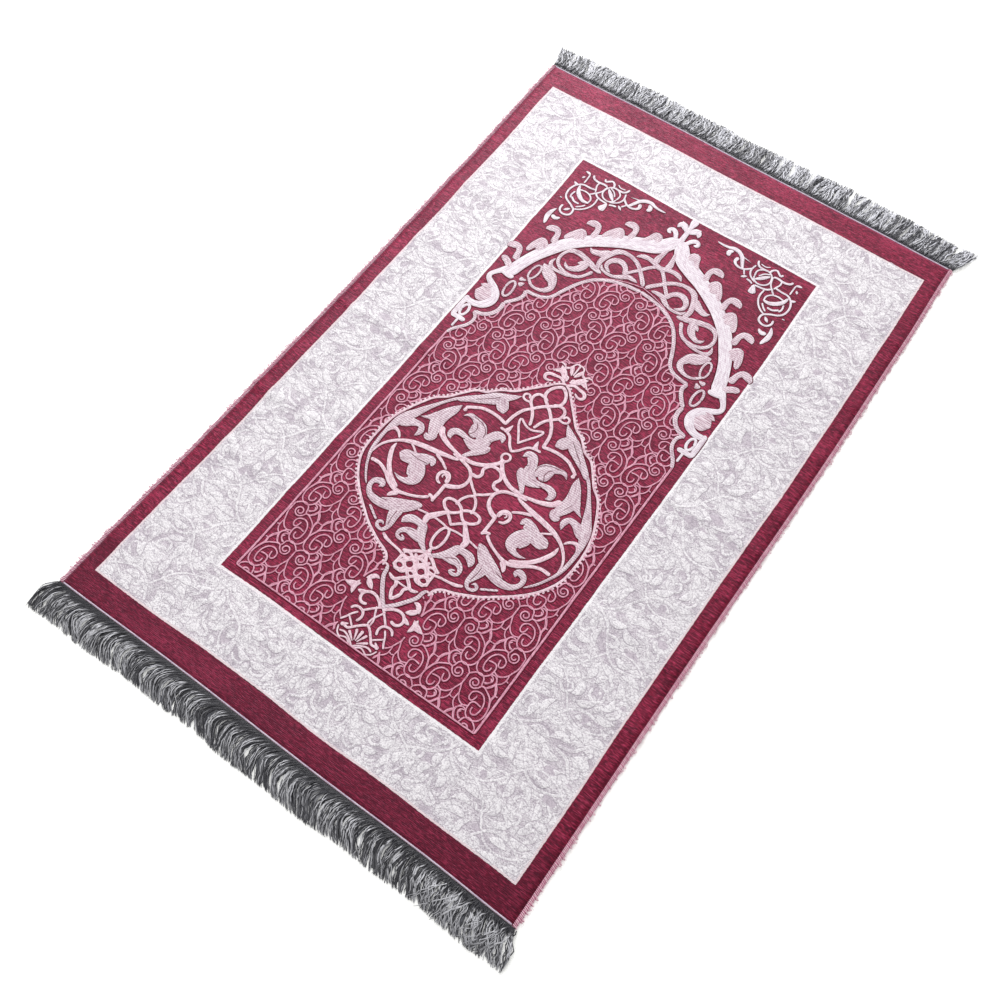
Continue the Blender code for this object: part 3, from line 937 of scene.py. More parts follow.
# %% Sprays in the upper corners
CORNER_SPRAY = chart("""
    line 5 45,393,2 55,392.5,4 64,393.5,5 71,396,7 80,395,7 88,389,6.5 93,381,5.5 96.5,375,5 99,371,3
    line 5 84.5,385,7 83,378,5.5 87,373,4 94,371,3.6 101,372.5,3.6 107,377,3.6 111,381,3
    line 7 73,391,5 68,386,8 71,380,6
    tail 2.6 84,391 94,389.5 104,387.5
    line 3 101,372 104,367 106,364
    leaf 4.4 103,358 107,361.5 111,364
    line 3.4 112,360 118,359 123,356.5
    line 3.6 111.5,398 113.5,392 118,388.5 126,388 133,389
    line 3 112,388 110,378 112.5,370 118,365 125,361.5
    line 2.8 119,371 118,380 123,386 131,388.5 138.5,385.5 142.5,379 143,370.5 137.5,363.5 129,361.5
        121.5,365 119,371
    swell 6.5 122,366 130,373.5 139,382
    line 2.6 124,374 129,381 137,385
    line 2.4 117,394.5 125,393.5 131,397
    line 3.6 134.5,388 136.5,394 141.5,397.5 146.5,394 150.5,391 153,395
    line 3.8 143,384 149,385.3 156,384.3 163,384.5 169,387 171,391.5
    leaf 4.6 176,388 180,390.5 186,391
    line 2.6 177,389 176.5,380 176.5,371
    leaf 4 181,382 183,380 184.5,377
    line 2.8 156.5,384 157.5,378 155,371 153,366
    line 2.8 142,384 145.5,372 149,366.5 152,364
    line 3.4 155,369.3 164,368 173,368 178.5,366 184.5,360 188,350 187.5,340.5 184,333 178,328.5
        170,325 162.5,320
    leaf 5 181,362 185.5,363 190,365.5
    line 3.4 127,357 136,357.5 145,359.5 151,364.5
    line 2.8 151,365.5 154,361 158,357
    line 3 143,357 142,348.5 143,340.5 146.5,333 151,327.5 156,323.5 161,321
    line 2.8 151.5,336 156,330.5 162,325.5
    line 2.8 151,341 150.5,348.5 154.5,354.5 161,357.5 168,358 175.5,356
    swell 7.4 149.5,341.5 159.5,341 168.5,346 175.5,354 178.5,364
    line 3.6 161,333 169.5,333 177,338.5
    line 3 178.5,350 180,342 178,335.5
    line 3.6 163,322 160.5,314.5 162,307.5 169,304 176,305.5 180,311.5 179.5,318.5
    leaf 5 166,318 170,314.5 174,310.5
    bud 13.5 126.5,357 128,349.5 130.5,341
    line 7 183,307,2 186.5,298,6.5 187,288,8 184.5,279,6 183,273,3
    line 7 169,295,4 175,291,7 182,293,7
    line 2 188,328 192,328.5
""")
print("strokes of a corner spray:", len(CORNER_SPRAY))

# %% Draw the niche
def draw_niche():
    """The arch and all that belongs to it; paints are arch, leaf and the dark edge with its painted shadow.
    """
    work = Work()
    arch, leaf, shade, pink = 0, 1, 2, 3
    draw_chart(work, FIELD_OUTLINE[:4], leaf, shade, spread=1.0)
    draw_chart(work, FIELD_OUTLINE[4:], pink, shade, spread=1.0)
    draw_chart(work, SPANDREL, leaf, shade)
    draw_chart(work, CORNER_SPRAY, arch, shade)
    for group, spots in ((HOOK, HOOK_PLACES), (FIN, FIN_PLACES)):
        for spot in spots:
            draw_chart(work, group, leaf, shade, place=turned(*spot))
    draw_chart(work, LOW_FIN, leaf, shade)
    draw_chart(work, FINIAL_LEAVES, arch, shade)
    draw_chart(work, ARCH_BAND, arch, shade, spread=1.2)
    draw_chart(work, CAPITAL_LEAF, leaf, shade)
    draw_chart(work, CAPITAL, arch, shade)
    return finish_yarn("niche_arch", work, [arch_yarn, leaf_yarn, shade_yarn, scroll_yarn])

niche_arch = draw_niche()

# %% [markdown]
# ## The medallion
# The medallion is an old ornament: an almond of scrolls and split leaves around a knotted stem, edged by a
# beaded line and hung with a pendant. Its right half is charted in small groups - edge, straps, scrolls,
# leaves, knot - and mirrored. The leaves are strokes whose width swells and narrows, laid over each other.

# %% Edge of the medallion
MEDALLION_BAND = chart("""
    line 6 31,-289.5,4 28,-296,5.5 26.5,-304,6 21,-313,6 13,-324,6 5,-333,6 -2,-339,5
    line 14 38,11,3 46,3,9 55,-5,15 65,-13,19 76,-21,16 86,-28,13 96,-35,10 106,-44,8
    line 5 100,-37,6 110,-46,5 120,-60,5 130,-76,8 139,-93,13 146,-107,17 151,-119,13 154.5,-134,7
        154.5,-152,6 152,-172,5.5 146,-188,4 137,-203,3.6 126,-216,2.6
    line 16 59,-5,15 53,-13,18 47.5,-20,17 43,-26,8
    line 4 60,5 66,6.5 69,2
    line 3.4 83,-249 93,-243 103,-237
""")
print("strokes inside the edge:", len(MEDALLION_BAND))

# %% Straps and knots on the stem
MEDALLION_STRAPS = chart("""
    line 6 -1,56 8,50 13.5,40 12.5,30 3,21 -7,13 -16,3 -24,-8 -29,-20 -31,-38
    line 5.5 5,25 12,28 20,28 25,22 23.5,12 15,3 8,-7 3,-20
    line 4.3 22,11 30,9.5 36,12 36,18 30,19.5 28,14.5
    line 4.1 -1,-25 7,-23 18,-17.5 16.5,-26 9,-37 -1,-52
    line 6 30,-37 42,-34 56,-33 70,-35 81,-41 90,-47
    bud 8 88,-43 88,-48 88,-53
    bud 10 21,-33 22,-40 24,-47
    line 4.8 33,-45 24,-45.5 15,-49 7,-60 -1,-67
    ring 4.3 0,-78 6,6
    line 7.2 -3,-83 8,-97 18,-105 31,-110.5 47,-111.5
    line 6 -2,-98 8,-100 13.5,-109 10.5,-118 14,-124 22,-124
    line 4.8 19,-131 10,-139 0,-147 6,-153 11,-162 12,-172
    line 5.3 -1,-176 6,-170.5 15,-168 25,-170 27,-177 20,-184 11,-186 4,-181 -1,-175
    line 9.6 4,-183,3.6 14,-188,6 25,-200,10 31,-208,11 29,-217,9
    line 4.8 17,-186 8,-192 -1,-200
    ring 4.8 0,-222 7.4,17
    line 3.6 -2,-206 10,-203.5 28,-203 48,-206
    bud 8 0,-238 0,-242 0,-246
""")
print("strokes of the straps:", len(MEDALLION_STRAPS))

# %% Scrolls of the medallion
MEDALLION_SCROLLS = chart("""
    line 7 46,-112.5,5 60,-110,6 76,-106,8 90,-99,10 97,-89,12
    line 6 60,-114,4 44,-116,5 29,-120,6 20.5,-129,6 19.5,-140,6 24,-149,7 33,-155,8 42,-158,8
    line 6 42,-155,8 43,-147,8 48,-142.5,8 55,-144,6 57,-151,6 53,-158,5 47,-159.5,4
    line 3 46,-148 49,-145.5 52,-148 50,-151
    line 6 40.5,-156 40.5,-170 41,-186
    line 5.5 39,-187 43,-182 50,-180.5
    line 6 48,-118,4 62,-121,7 80,-124.5,9 98,-127.5,9 116,-132,8 130,-139,6 141,-149,5 148,-161,4
        150.5,-178,3
    line 5 53,-139,4 64,-132.5,5 78,-127,6
    line 3.6 101,-142 107,-138 114,-134
    line 7 131,-145,3 130.5,-155,7 125,-167,8 116,-180,8 104,-190,7 90,-197,6
    line 5.5 47,-184,6 57,-191,5 71,-197,5 87,-201,7 102,-197,7 116,-188,6 130,-182.5,6 144,-183,7
    line 6 83,-202,9 90,-208,8 93,-214,5
    line 5 133,-137,4 139,-130.5,5 147,-128,7 153,-132,9 153,-138,6
    line 4.4 24,-268 34,-265.5 46,-264 56,-262,6 64,-258
""")
print("strokes of the scrolls:", len(MEDALLION_SCROLLS))

# %% Split leaves of the medallion
MEDALLION_LEAVES = chart("""
    line 12 17,-64,3 21,-57,11 29,-58,15 35,-67,14 38,-78,20 44,-87,20 54,-87,13 64,-84,8 73,-83,10
        81,-87,11 81,-94,9 77,-98,4
    line 9 26,-78,8 29,-86,10 36,-93,12 42,-101,8 49,-111,5
    line 18 48,-78,14 48.5,-70,17 54,-62,19 61,-57,14 69,-54,8.5 77,-53,6.5 84,-59,2.4
    line 14 53,-79,12 57,-72,16 60.5,-65,12 63,-58,8
    line 18 95,-47,3 99,-58,12 104.5,-70,18 108,-82,22 106,-92,20 102.5,-102,16 100,-113,11
    tail 20 109,-76,20 116,-84,17 124,-90,12 132,-94,5
    line 11 98,-102,12 100,-111,13 105,-113.5,10 109,-110,6
    line 12 119,-123,3 116.5,-113,9 121,-105,9 130,-106,11 141,-111,17 150,-120,11
    line 18 72,-146,8 76,-139,12 85,-143,18 95,-149,20 105,-152,20 114,-153,19 119,-154,12
    line 20 100,-150,14 90,-156,24 83,-166,26 80,-175,20 85,-182,11 95,-184.5,6 106,-182,2.4
    line 9 27,-216,10 26,-226,14 20,-236,12 11,-244,7 3,-249,5
    line 10 26,-222,10 36,-220,10 46,-221,12 52,-226,11 54,-233,5
    line 8 16,-240,9 30,-237,13 41,-237.5,9 47.5,-243,7 48,-250,5 42,-252.5,5 37,-250.5,4.4 43,-246.5,3
    line 16 46,-199,9 54,-204,14 66,-213,20 82,-221,20 98,-227,13 112,-225,9 120.5,-216,7 120,-206,8
        112,-202,10 107,-205,8 110,-210,5
    line 16 68,-216,20 69,-229,17 66,-241,12 64.5,-250,7 69,-256.5,5 77,-255,5 79,-249.5,5 74,-247,5
        71,-250,3
""")
print("strokes of the leaves:", len(MEDALLION_LEAVES))

# %% Veins, the lower knot, the pendant and the finial
MEDALLION_VEINS = chart("""
    line 1.5 42.5,-72 44,-64 50,-57.5 60,-53.5 70,-52 78,-53
    line 1.5 61,-78 57,-71 57.5,-64 62,-58
    line 1.5 27,-72 33,-70 37,-63
    line 1.5 41,-86 52,-85 66,-88 75,-89
    line 1.5 102,-62 107,-74 110,-86 106,-98
    line 1.5 60,-8 72,-18 86,-29
    line 1.5 80,-146 92,-148 104,-147
    line 1.5 56,-205 70,-213 86,-219 102,-222
    line 1.5 68,-224 68,-236 66,-246
    line 1.5 22,-240 33,-234 42,-236
""")
MEDALLION_KNOT = chart("""
    line 5.5 -4,-246 4,-249 12,-253 20,-259 29,-262.5
    line 6 -2,-259 8,-261 16,-268 25,-268
    line 6 0,-250 6,-260 14,-268 22,-276
    line 6 -2,-270 5,-264 12,-257
    ring 5 19,-265 6,4.5
    ring 6 9,-273.5 7,7
    ring 5.5 19,-281.5 6.5,5.5
    line 5.5 -2,-276 6,-281 12,-287 24,-287
    line 5 25,-268 25,-277 26,-286
    line 5 0,-289 6,-283 10,-280
    ring 4 0,-283 5,3.6
    line 5.6 -2,-288 6,-294.5 12,-300 18,-299.5,5 23,-297,3
    line 5.4 10,-301 6,-305 6.5,-312 3.5,-319 -1,-325
    line 3 -2,-301 6,-301 13,-301
    line 3.6 37,-284 36.5,-289.5 30,-290
    leaf 8 27,-311 34,-311 42,-320
    leaf 9 40,-315 35,-322 26,-328
    line 4.8 2,-342 8,-336 16,-331.5 24,-331 30,-334.5 32.5,-340.5 30,-346.5 25,-348.5 19,-347
    leaf 7 29,-333 35,-337 41,-338
    leaf 10 42,-329 50,-335 61,-338
    leaf 8 44,-347 47,-338 46,-326
    line 3.6 -1,-338 6,-344 18,-356
    line 3.2 7,-342 3,-350 -1,-358 -2,-367
    line 4.2 16,-372 13.5,-365 16,-358 23,-355.5 29,-357 32.5,-362
    line 3.2 21,-361 26,-367 30,-375 34,-381
    line 3 16,-380 21,-376 27,-371
    line 4 -1,-367 6,-372 14,-380 19,-385 27,-384
    bud 7 21,-380 25,-383 29,-386
    bud 5.5 0,-393 0,-385 0,-377
    bud 4.6 2,-393 5,-385.5 8,-379
    bud 4.6 3,-395 9,-390.5 15,-386
    line 3 0,-401 8,-395 18,-391 25,-393
    line 2.8 4,-401 12,-396 22,-400
    line 2.8 18,-401 26,-396 30,-388
""")
MEDALLION_FINIAL = chart("""
    line 6 3,62 11,66.5,5 20,65.5,5.5 28,64,6.5 32,58.5,6 29,53.5,5 23,54,4 18,57,3
    line 5 2,67 9,71 17,75 25,73
    leaf 11 4,66 13,76 22,85
    line 4 9,88 15,84.5 21,78 28,71
    line 3 0,99 6,97.5 9,91 13,84.5 20,88 26,88.5
    line 3 0.5,98 0,88 0,79
    leaf 7 2,77 6,86 9,95
    ring 3 6,71 3,3
""")
print("strokes of the knot and finial:", len(MEDALLION_KNOT + MEDALLION_FINIAL))

# %% Beads of the medallion
BEAD_SPACING, BEAD_REACH, BEAD_WIDTH = 6.2, 4.2, 4.4

def beads(edge):
    """Small beads along an edge, a little outside it."""
    fine, run = smooth_line([(x, y, 1) for x, y in edge], 2.0)
    found, hint = [], 0
    for number in range(int(run[-1] / BEAD_SPACING)):
        distance = number * BEAD_SPACING + BEAD_SPACING / 2
        (x, y, _), hint = at_distance(fine, run, distance, hint)
        (next_x, next_y, _), _ = at_distance(fine, run, distance + 1.0, hint)
        reaches = (0, BEAD_REACH / 2, BEAD_REACH)
        points = [(x + (y - next_y) * reach, y + (next_x - x) * reach) for reach in reaches]
        found.append(("bud", BEAD_WIDTH, points))
    return found

print("beads along the medallion's right edge:", len(beads(MEDALLION_EDGE)))

# %% Draw the medallion
STRAP_SLIM = 0.86
KNOT_SLIM = 0.9

def draw_medallion():
    """The medallion from its beaded edge inwards; paints are leaf, strap and the dark edge with its painted
    shadow.
    """
    work = Work()
    leaf, strap, shade = 0, 1, 2
    draw_chart(work, beads(MEDALLION_EDGE), strap, shade, spread=0.5)
    draw_chart(work, [("line", 3.8, MEDALLION_EDGE)], strap, shade, spread=1.2)
    draw_chart(work, MEDALLION_BAND, leaf, shade, spread=1.0)
    draw_chart(work, MEDALLION_SCROLLS, strap, shade, slim=STRAP_SLIM)
    draw_chart(work, MEDALLION_LEAVES, leaf, shade)
    draw_chart(work, MEDALLION_STRAPS, strap, shade, slim=STRAP_SLIM)
    draw_chart(work, MEDALLION_KNOT + MEDALLION_FINIAL, strap, shade, slim=KNOT_SLIM)
    draw_chart(work, MEDALLION_VEINS, shade, proud=1.9)
    return finish_yarn("medallion", work, [leaf_yarn, strap_yarn, shade_yarn])

medallion = draw_medallion()

# %% [markdown]
# ## The white border
# The border is a damask: white leaves on a white ground that only differs in sheen and a little grey. Its
# repeat is charted for half a leafy arch, with a vine that swings from the frame to the edge and back.
# The same chart runs up both sides and, turned, along both ends. Under each leaf lies a greyer flat
# ribbon, shifted away from the key lamp: a painted shadow.

# %% The border's repeat
BORDER_REPEAT = 87.0
BORDER_AXIS = -8.0
FOLIAGE = chart("""
    line 5 -3,4 2,20 14,36 32,47 48,60 54,77 50,96 40,112
    line 4 90,4 85,20 73,36 55,47 39,60 33,77 37,96 47,112
    leaf 15 2,30 6,44 2,58
    leaf 14 4,56 14,66 12,82
    line 6 24,42 22,52 27,60 34,57 31,50
    leaf 13 10,22 22,20 32,28
    leaf 12 20,32 36,30 46,38
    line 5 18,8 28,6 36,12 32,20 25,17
    leaf 12 40,6 46,18 44,32
    leaf 11 54,4 62,14 60,28
    line 5 66,30 60,38 66,46 74,42 71,36
    leaf 14 72,8 76,20 70,30
    leaf 15 62,48 72,54 86,52
    leaf 13 58,56 62,70 72,80
    line 5.5 84,66 74,66 70,76 77,84 85,80 81,74
    leaf 13 42,66 46,78 43,90
    leaf 11 24,66 28,80 22,92
    line 5.5 2,70 6,88 16,96 22,102 16,109 8,105 11,99
    leaf 13 0,92 4,104 0,116
    leaf 12 26,98 32,108 28,117
    leaf 12 58,84 56,98 60,112
    leaf 13 66,88 76,96 87,94
    line 5 62,100 68,108 77,109 80,102 74,100
    leaf 12 84,100 88,108 86,117
    leaf 9 10,8 8,14 14,18
    leaf 8 78,34 84,38 88,46
    leaf 8 48,108 52,113 50,118
""")
print("strokes of half a repeat:", len(FOLIAGE))

# %% Draw the border
BAND_MARGIN = 4.5
SIDE_BAND = BORDER_HALF_WIDTH / MM - FRAME_HALF_WIDTH / MM

def half_repeats(numbers, axis=0.0):
    """For each half repeat along a band: the way it runs and where it starts."""
    for number in numbers:
        turn = 1 if number % 2 == 0 else -1
        yield turn, axis + BORDER_REPEAT * (number if turn == 1 else number + 1)

def border_places():
    """For each half repeat: how it is set down, and the test that keeps it in its band."""
    inner, outer = FRAME_HALF_WIDTH / MM + BAND_MARGIN, BORDER_HALF_WIDTH / MM - BAND_MARGIN
    foot, head = BORDER_FOOT / MM + BAND_MARGIN, BORDER_HEAD / MM - BAND_MARGIN
    for side in (-1, 1):
        for turn, start in half_repeats(range(-6, 7), BORDER_AXIS):
            yield (lambda u, v: (side * (inner - 3 + v), start + turn * u),
                   lambda x, y: inner < abs(x) < outer and foot < y < head)
    for end, frame_end, far in ((-1, FRAME_FOOT, foot), (1, FRAME_HEAD, head)):
        near = frame_end / MM + end * BAND_MARGIN
        squeeze = abs(far - near) / (SIDE_BAND - 3)
        for turn, start in half_repeats(range(-3, 3)):
            yield (lambda u, v: (start + turn * u, near + end * v * squeeze),
                   lambda x, y: abs(x) < inner - 1 and min(near, far) < y < max(near, far))

def draw_border():
    """Lay the repeat along all four bands; paints are the leaves and their painted shadow."""
    work = Work()
    for place, keep in border_places():
        draw_chart(work, FOLIAGE, 0, 1, keep, both=False, spread=0.9, place=place, edge=0.8, proud=0.45,
                   soft=True)
    return finish_yarn("border_foliage", work, [border_yarn, leaf_shadow_yarn])

border_foliage = draw_border()

# %% [markdown]
# ## The end hems
# Each end of the cloth is turned once and pressed, and its outermost fold shows as a narrow lilac line.
# It is one long stroke, a little prouder than the ornament.

# %% Hems
HEM_WIDTH = 2.1
HEM_PROUD = 2.2
HEM_PARTS = 40

def draw_hems():
    """The pressed fold at both ends of the cloth."""
    work = Work()
    reach = (HALF_WIDTH - BINDING_WIDTH) / MM - 1
    place = HALF_LENGTH / MM - HEM_WIDTH / 2
    for end in (-1, 1):
        line = [(-reach + 2 * reach * i / HEM_PARTS, end * place) for i in range(HEM_PARTS + 1)]
        draw(work, "line", HEM_WIDTH, line, proud=HEM_PROUD)
    return finish_yarn("end_hems", work, [hem_yarn])

end_hems = draw_hems()

# %% [markdown]
# ## The thread edges
# The long edges are overlocked: pink thread is wrapped over the edge again and again, slightly aslant.
# A striped tube would look the same from afar, but up close the edge is made of separate turns of
# thread. So there is a folded core that hides the cloth's edge and a turn of thread every 2.1 mm over it.
# Some turns hang a little loose, which gives the edge its uneven, fuzzy line.

# %% Thread finish
def make_edge_thread():
    """Pink thread: each turn has its own tone, the core is the darkest, and the bend is a little duller."""
    material = start_finish("edge thread", 0.5, 0.3)
    flat, x, _, turn = mark(material, "flat")
    strands = cloudy(flat, (900, 900, 40), 2.0)
    bend = abs(x).rise(HALF_WIDTH - 0.0030, HALF_WIDTH - 0.0004)
    pink = tint(strands.rise(0.35, 0.65), colour(242, 196, 211), colour(250, 224, 231))
    pink = tint(turn.rise(0.75, 0.2) * 0.55, pink, colour(204, 128, 154))
    pink = tint(turn.rise(0.02, 0.005), pink, colour(186, 112, 140))
    pink = tint(bend * 0.15, pink, colour(190, 116, 146))
    return end_finish(material, pink, strands, 0.0003, 0.5)

edge_thread = make_edge_thread()
print("made", edge_thread.name)

# %% A turn of thread
THREAD_SEED = 7
THREAD_PITCH = 0.0021
THREAD_STRAY = 0.0002
THREAD_RADIUS = 0.00052
THREAD_SIDES = 4
LOOSEST_THREAD = 0.0038
LOWEST_THREAD = 0.00002
CORE_SECTION = (
    (0.0004, 0.0001), (0.0, 0.0007), (0.0, 0.0019), (0.0004, 0.0025), (0.0012, 0.0026), (0.0050, 0.0025),
    (0.0050, 0.0021), (0.0009, 0.0021), (0.0009, 0.0005), (0.0050, 0.0005), (0.0050, 0.0),
)
THREAD_TURN = (
    (0.0050, 0.0024, 0.0011), (0.0044, 0.0030, 0.0008), (0.0026, 0.0031, 0.0003),
    (0.0009, 0.0028, -0.0003), (0.0002, 0.0021, -0.0006), (0.0001, 0.0012, -0.0008),
    (0.0005, 0.0005, -0.0009), (0.0016, 0.00043, -0.0010),
)
UPPER_POINTS = 5  # how many points of the turn face up

def edge_point(side, inward, height, y):
    """A point of a long edge, from how far in and how high it is, and its place on the flat cloth."""
    x = side * (HALF_WIDTH - inward)
    return (*lie(x, y), height + crease_lift(x, y)), (x, y)

def thread_outward(side, index):
    """The direction that a turn of thread faces at one of its points."""
    before = THREAD_TURN[max(0, index - 1)]
    after = THREAD_TURN[min(len(THREAD_TURN) - 1, index + 1)]
    upward = abs(after[0] - before[0]) * (1 if index < UPPER_POINTS else -1)
    return Vector((side * abs(after[1] - before[1]), 0.0, upward)).normalized()

def wrap_thread(work, side, middle, tone, slack, loose):
    """One turn of thread over the edge; loose is how far it stands off at its bend."""
    for index, (inward, height, along) in enumerate(THREAD_TURN):
        y = max(-HALF_LENGTH, min(HALF_LENGTH, middle + along * slack))
        inward -= loose * math.sin(math.pi * index / (len(THREAD_TURN) - 1))
        out = thread_outward(side, index)
        (px, py, pz), place = edge_point(side, inward, height, y)
        for corner in range(THREAD_SIDES):
            angle = 2 * math.pi * corner / THREAD_SIDES
            lift, slide = THREAD_RADIUS * math.cos(angle), THREAD_RADIUS * math.sin(angle)
            point = (px + out.x * lift, py + slide, max(LOWEST_THREAD, pz + out.z * lift))
            work.add(point, (*place, tone))
    work.join(len(THREAD_TURN), THREAD_SIDES, closed=True, over=side > 0)

print("turns of thread on each edge:", int(CLOTH_LENGTH / THREAD_PITCH))

# %% Wrap the long edges
def make_binding(name, side, node):
    """The folded core and its turns of thread, as one mesh."""
    rng = random.Random(THREAD_SEED + side)
    work = Work()
    rows, width = cloth_rows(), len(CORE_SECTION)
    for left, right in rows:
        for inward, height in CORE_SECTION:
            y = along_row(left, right, side * (HALF_WIDTH - inward))
            point, place = edge_point(side, inward, height, y)
            work.add(point, (*place, 0.0))
    work.join(len(rows), width, closed=True, over=side > 0)
    ends = [tuple(range(width))[::-1], tuple(range((len(rows) - 1) * width, len(rows) * width))]
    work.faces += [end[::-1] if side > 0 else end for end in ends]
    work.paint += [0, 0]
    for number in range(int(CLOTH_LENGTH / THREAD_PITCH)):
        middle = -HALF_LENGTH + THREAD_PITCH * (number + 0.5) + rng.uniform(-THREAD_STRAY, THREAD_STRAY)
        tone = rng.uniform(0.1, 1.0)
        slack = rng.uniform(0.9, 1.5)
        wrap_thread(work, side, middle, tone, slack, LOOSEST_THREAD * rng.random() ** 3)
    binding = add_piece(name, work, [edge_thread])
    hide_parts(node)
    return report(binding)

binding_left = make_binding("thread_edge_left", -1, "edge_binding_left")
binding_right = make_binding("thread_edge_right", 1, "edge_binding_right")

# %% [markdown]
# ## The fringes
# Each end carries a charcoal tape with a dense fringe of silky silver yarn. Shade is painted on its roots and
# glints along its strands, and the foot's fringe is painted darker than the head's. Particle
# hair could make it, but its strands couldn't be kept inside the CAD model's reach. So each strand is
# drawn: it hangs from the tape, leans and waves with its clump, and ends at its own length. Below the
# strands lies a bed of broad dark locks, so that the fringe is as dense as the real one; the charcoal of
# this bed and of the tape is partly painted shade, under the hem and between the strands.

# %% Fringe finishes
def make_fringe_yarn(name, dark, light, low, tips=1.0):
    """Silky yarn with painted shade at its roots, painted glints along it and a tone for each strand; tips is
    how bright its tips stay.
    """
    material = start_finish(name, 0.34, 0.2, 0.6)
    run, _, tone, seed = mark(material, "yarn")
    share = mark(material, "flat")[3]
    # Painted glints: noise along each strand that brightens short stretches of it.
    painted_glint = cloudy(run, (130, 0, 60), 2.0)
    # Painted shade at the roots: each strand darkens towards the tape, over a length that its seed sets.
    bright = tone.rise(low, low + 0.55) * share.rise(seed * 0.16, seed * 0.4 + 0.06)
    bright = bright * painted_glint.rise(0.3, 0.56) * (share * (tips - 1.0) + 1.0)
    return end_finish(material, tint(bright, colour(*dark), colour(*light)))

# The head and foot yarns are lit and shaded copies of one yarn: the foot's dimmer tips are painted shade.
head_silver = make_fringe_yarn("head silver yarn", (44, 43, 52), (232, 232, 240), 0.12)
foot_silver = make_fringe_yarn("foot silver yarn", (34, 33, 42), (246, 246, 252), 0.12, tips=0.35)
# The charcoal of the tape and the bed of locks is partly painted shade, under the hem and between the
# strands.
charcoal_yarn = make_fringe_yarn("charcoal fringe yarn", (34, 34, 42), (100, 101, 110), 0.3)
print("fringe finishes:", [finish.name for finish in (head_silver, foot_silver, charcoal_yarn)])

# %% Sizes and combing of a fringe
TAPE_HEIGHT = 0.0022
FRINGE_REACH = 0.598
TIP_SWAY = 0.006
TIP_SPREAD = 0.0028
CORNER_FLARE = 0.365
LOCKS = 130
WISPS = 1150
WISP_STRANDS = 3
STRAND_PARTS = 12
STRAND_HALF = 0.00027
STRAY_SHARE = 0.05
TANGLE_START = 0.21
TANGLE_GROWTH = 0.07
FLARE_START = 0.325
FLARE_GROWTH = 0.025
FLARE_SIZE = 0.011
BOW_RIPPLE = 0.0022
RIPPLE_TURNS = 270
CLUMP_WIDTHS = (0.0028, 0.0092)
CLUMP_LEAN = 0.0028
CLUMP_WAVES = (0.0008, 0.0034)
WISP_LEAN = 0.0023
STRAY_LEAN = (0.004, 0.012)
ANY_PHASE = (0, 6.28)
CLUMP_SEED = 31
FRINGE_SEED = 53
LOCK_WAVES = ((0.031, 0.6, 0.0016), (0.074, 2.1, 0.0024), (0.013, 4.0, 0.0009))
HEAD_LEAN = (
    (-0.350, -0.010), (-0.290, -0.003), (-0.100, 0.003), (0.060, 0.001), (0.250, 0.004), (0.350, 0.010),
)
FOOT_LEAN = (
    (-0.350, -0.008), (-0.180, -0.007), (-0.050, -0.002), (0.060, 0.004), (0.240, 0.005), (0.350, 0.013),
)
HEAD_BOW = ((-0.350, 0.002), (-0.100, 0.004), (0.120, 0.001), (0.350, 0.003))
FOOT_BOW = ((-0.350, -0.010), (-0.100, -0.015), (0.120, -0.012), (0.240, -0.006), (0.350, 0.002))

print("silver strands in each fringe:", WISPS * WISP_STRANDS)

# %% Where the yarn of a fringe goes
def drift(x, share, end, lean):
    """Sideways shift of the combed yarn, a share of the way to its tips."""
    shift = eased(lean, x) * share ** 1.3
    for wavelength, phase, size in LOCK_WAVES:
        swing = math.sin(2 * math.pi * (x / wavelength + 0.45 * share) + phase * end)
        shift += size * share ** 1.5 * swing
    return shift

def tip_reach(x, end, rng):
    """How far along the rug a strand's tip reaches."""
    place = (x + HALF_WIDTH) / RUG_WIDTH * LOCKS
    sway = 1 + 0.6 * math.sin(place * 0.093 + 2 * end) + 0.4 * math.sin(place * 0.31 + end)
    return FRINGE_REACH - TIP_SWAY * sway / 2 - abs(rng.gauss(0, TIP_SPREAD))

def make_clumps(end):
    """Clumps of a fringe from left to right, each with where it ends and how it is combed."""
    rng = random.Random(CLUMP_SEED + end)
    clumps = []
    place = -HALF_WIDTH
    while place < HALF_WIDTH:
        width = rng.uniform(*CLUMP_WIDTHS)
        clumps.append({
            "middle": place + width / 2, "end": place + width, "lean": rng.gauss(0, CLUMP_LEAN),
            "wave": rng.uniform(*CLUMP_WAVES), "phase": rng.uniform(*ANY_PHASE),
            "waves": rng.uniform(0.7, 1.4), "height": rng.random(), "tone": rng.random(),
        })
        place += width
    return clumps

def clump_at(clumps, x):
    """The clump that a place belongs to."""
    return next((clump for clump in clumps if x < clump["end"]), clumps[-1])

print("clumps at the head:", len(make_clumps(1)), "and at the foot:", len(make_clumps(-1)))

# %% The path of a strand
def in_reach(x):
    """A place across the rug, kept inside the fringe's widest flare."""
    return max(-CORNER_FLARE, min(CORNER_FLARE, x))

def comb_wisp(x, end, rng, crimp, stray=0.0):
    """How the few strands of one wisp lie together."""
    return {
        "lean": rng.gauss(0, WISP_LEAN) + stray, "phase": rng.uniform(*ANY_PHASE),
        "crimp": rng.uniform(0.2, 1) * crimp, "turns": rng.uniform(1.5, 4.5),
        "layer": 1.2 if stray else rng.random(), "root": 0.0012 + 0.0035 * rng.random(),
        "tip": tip_reach(x, end, rng),
    }

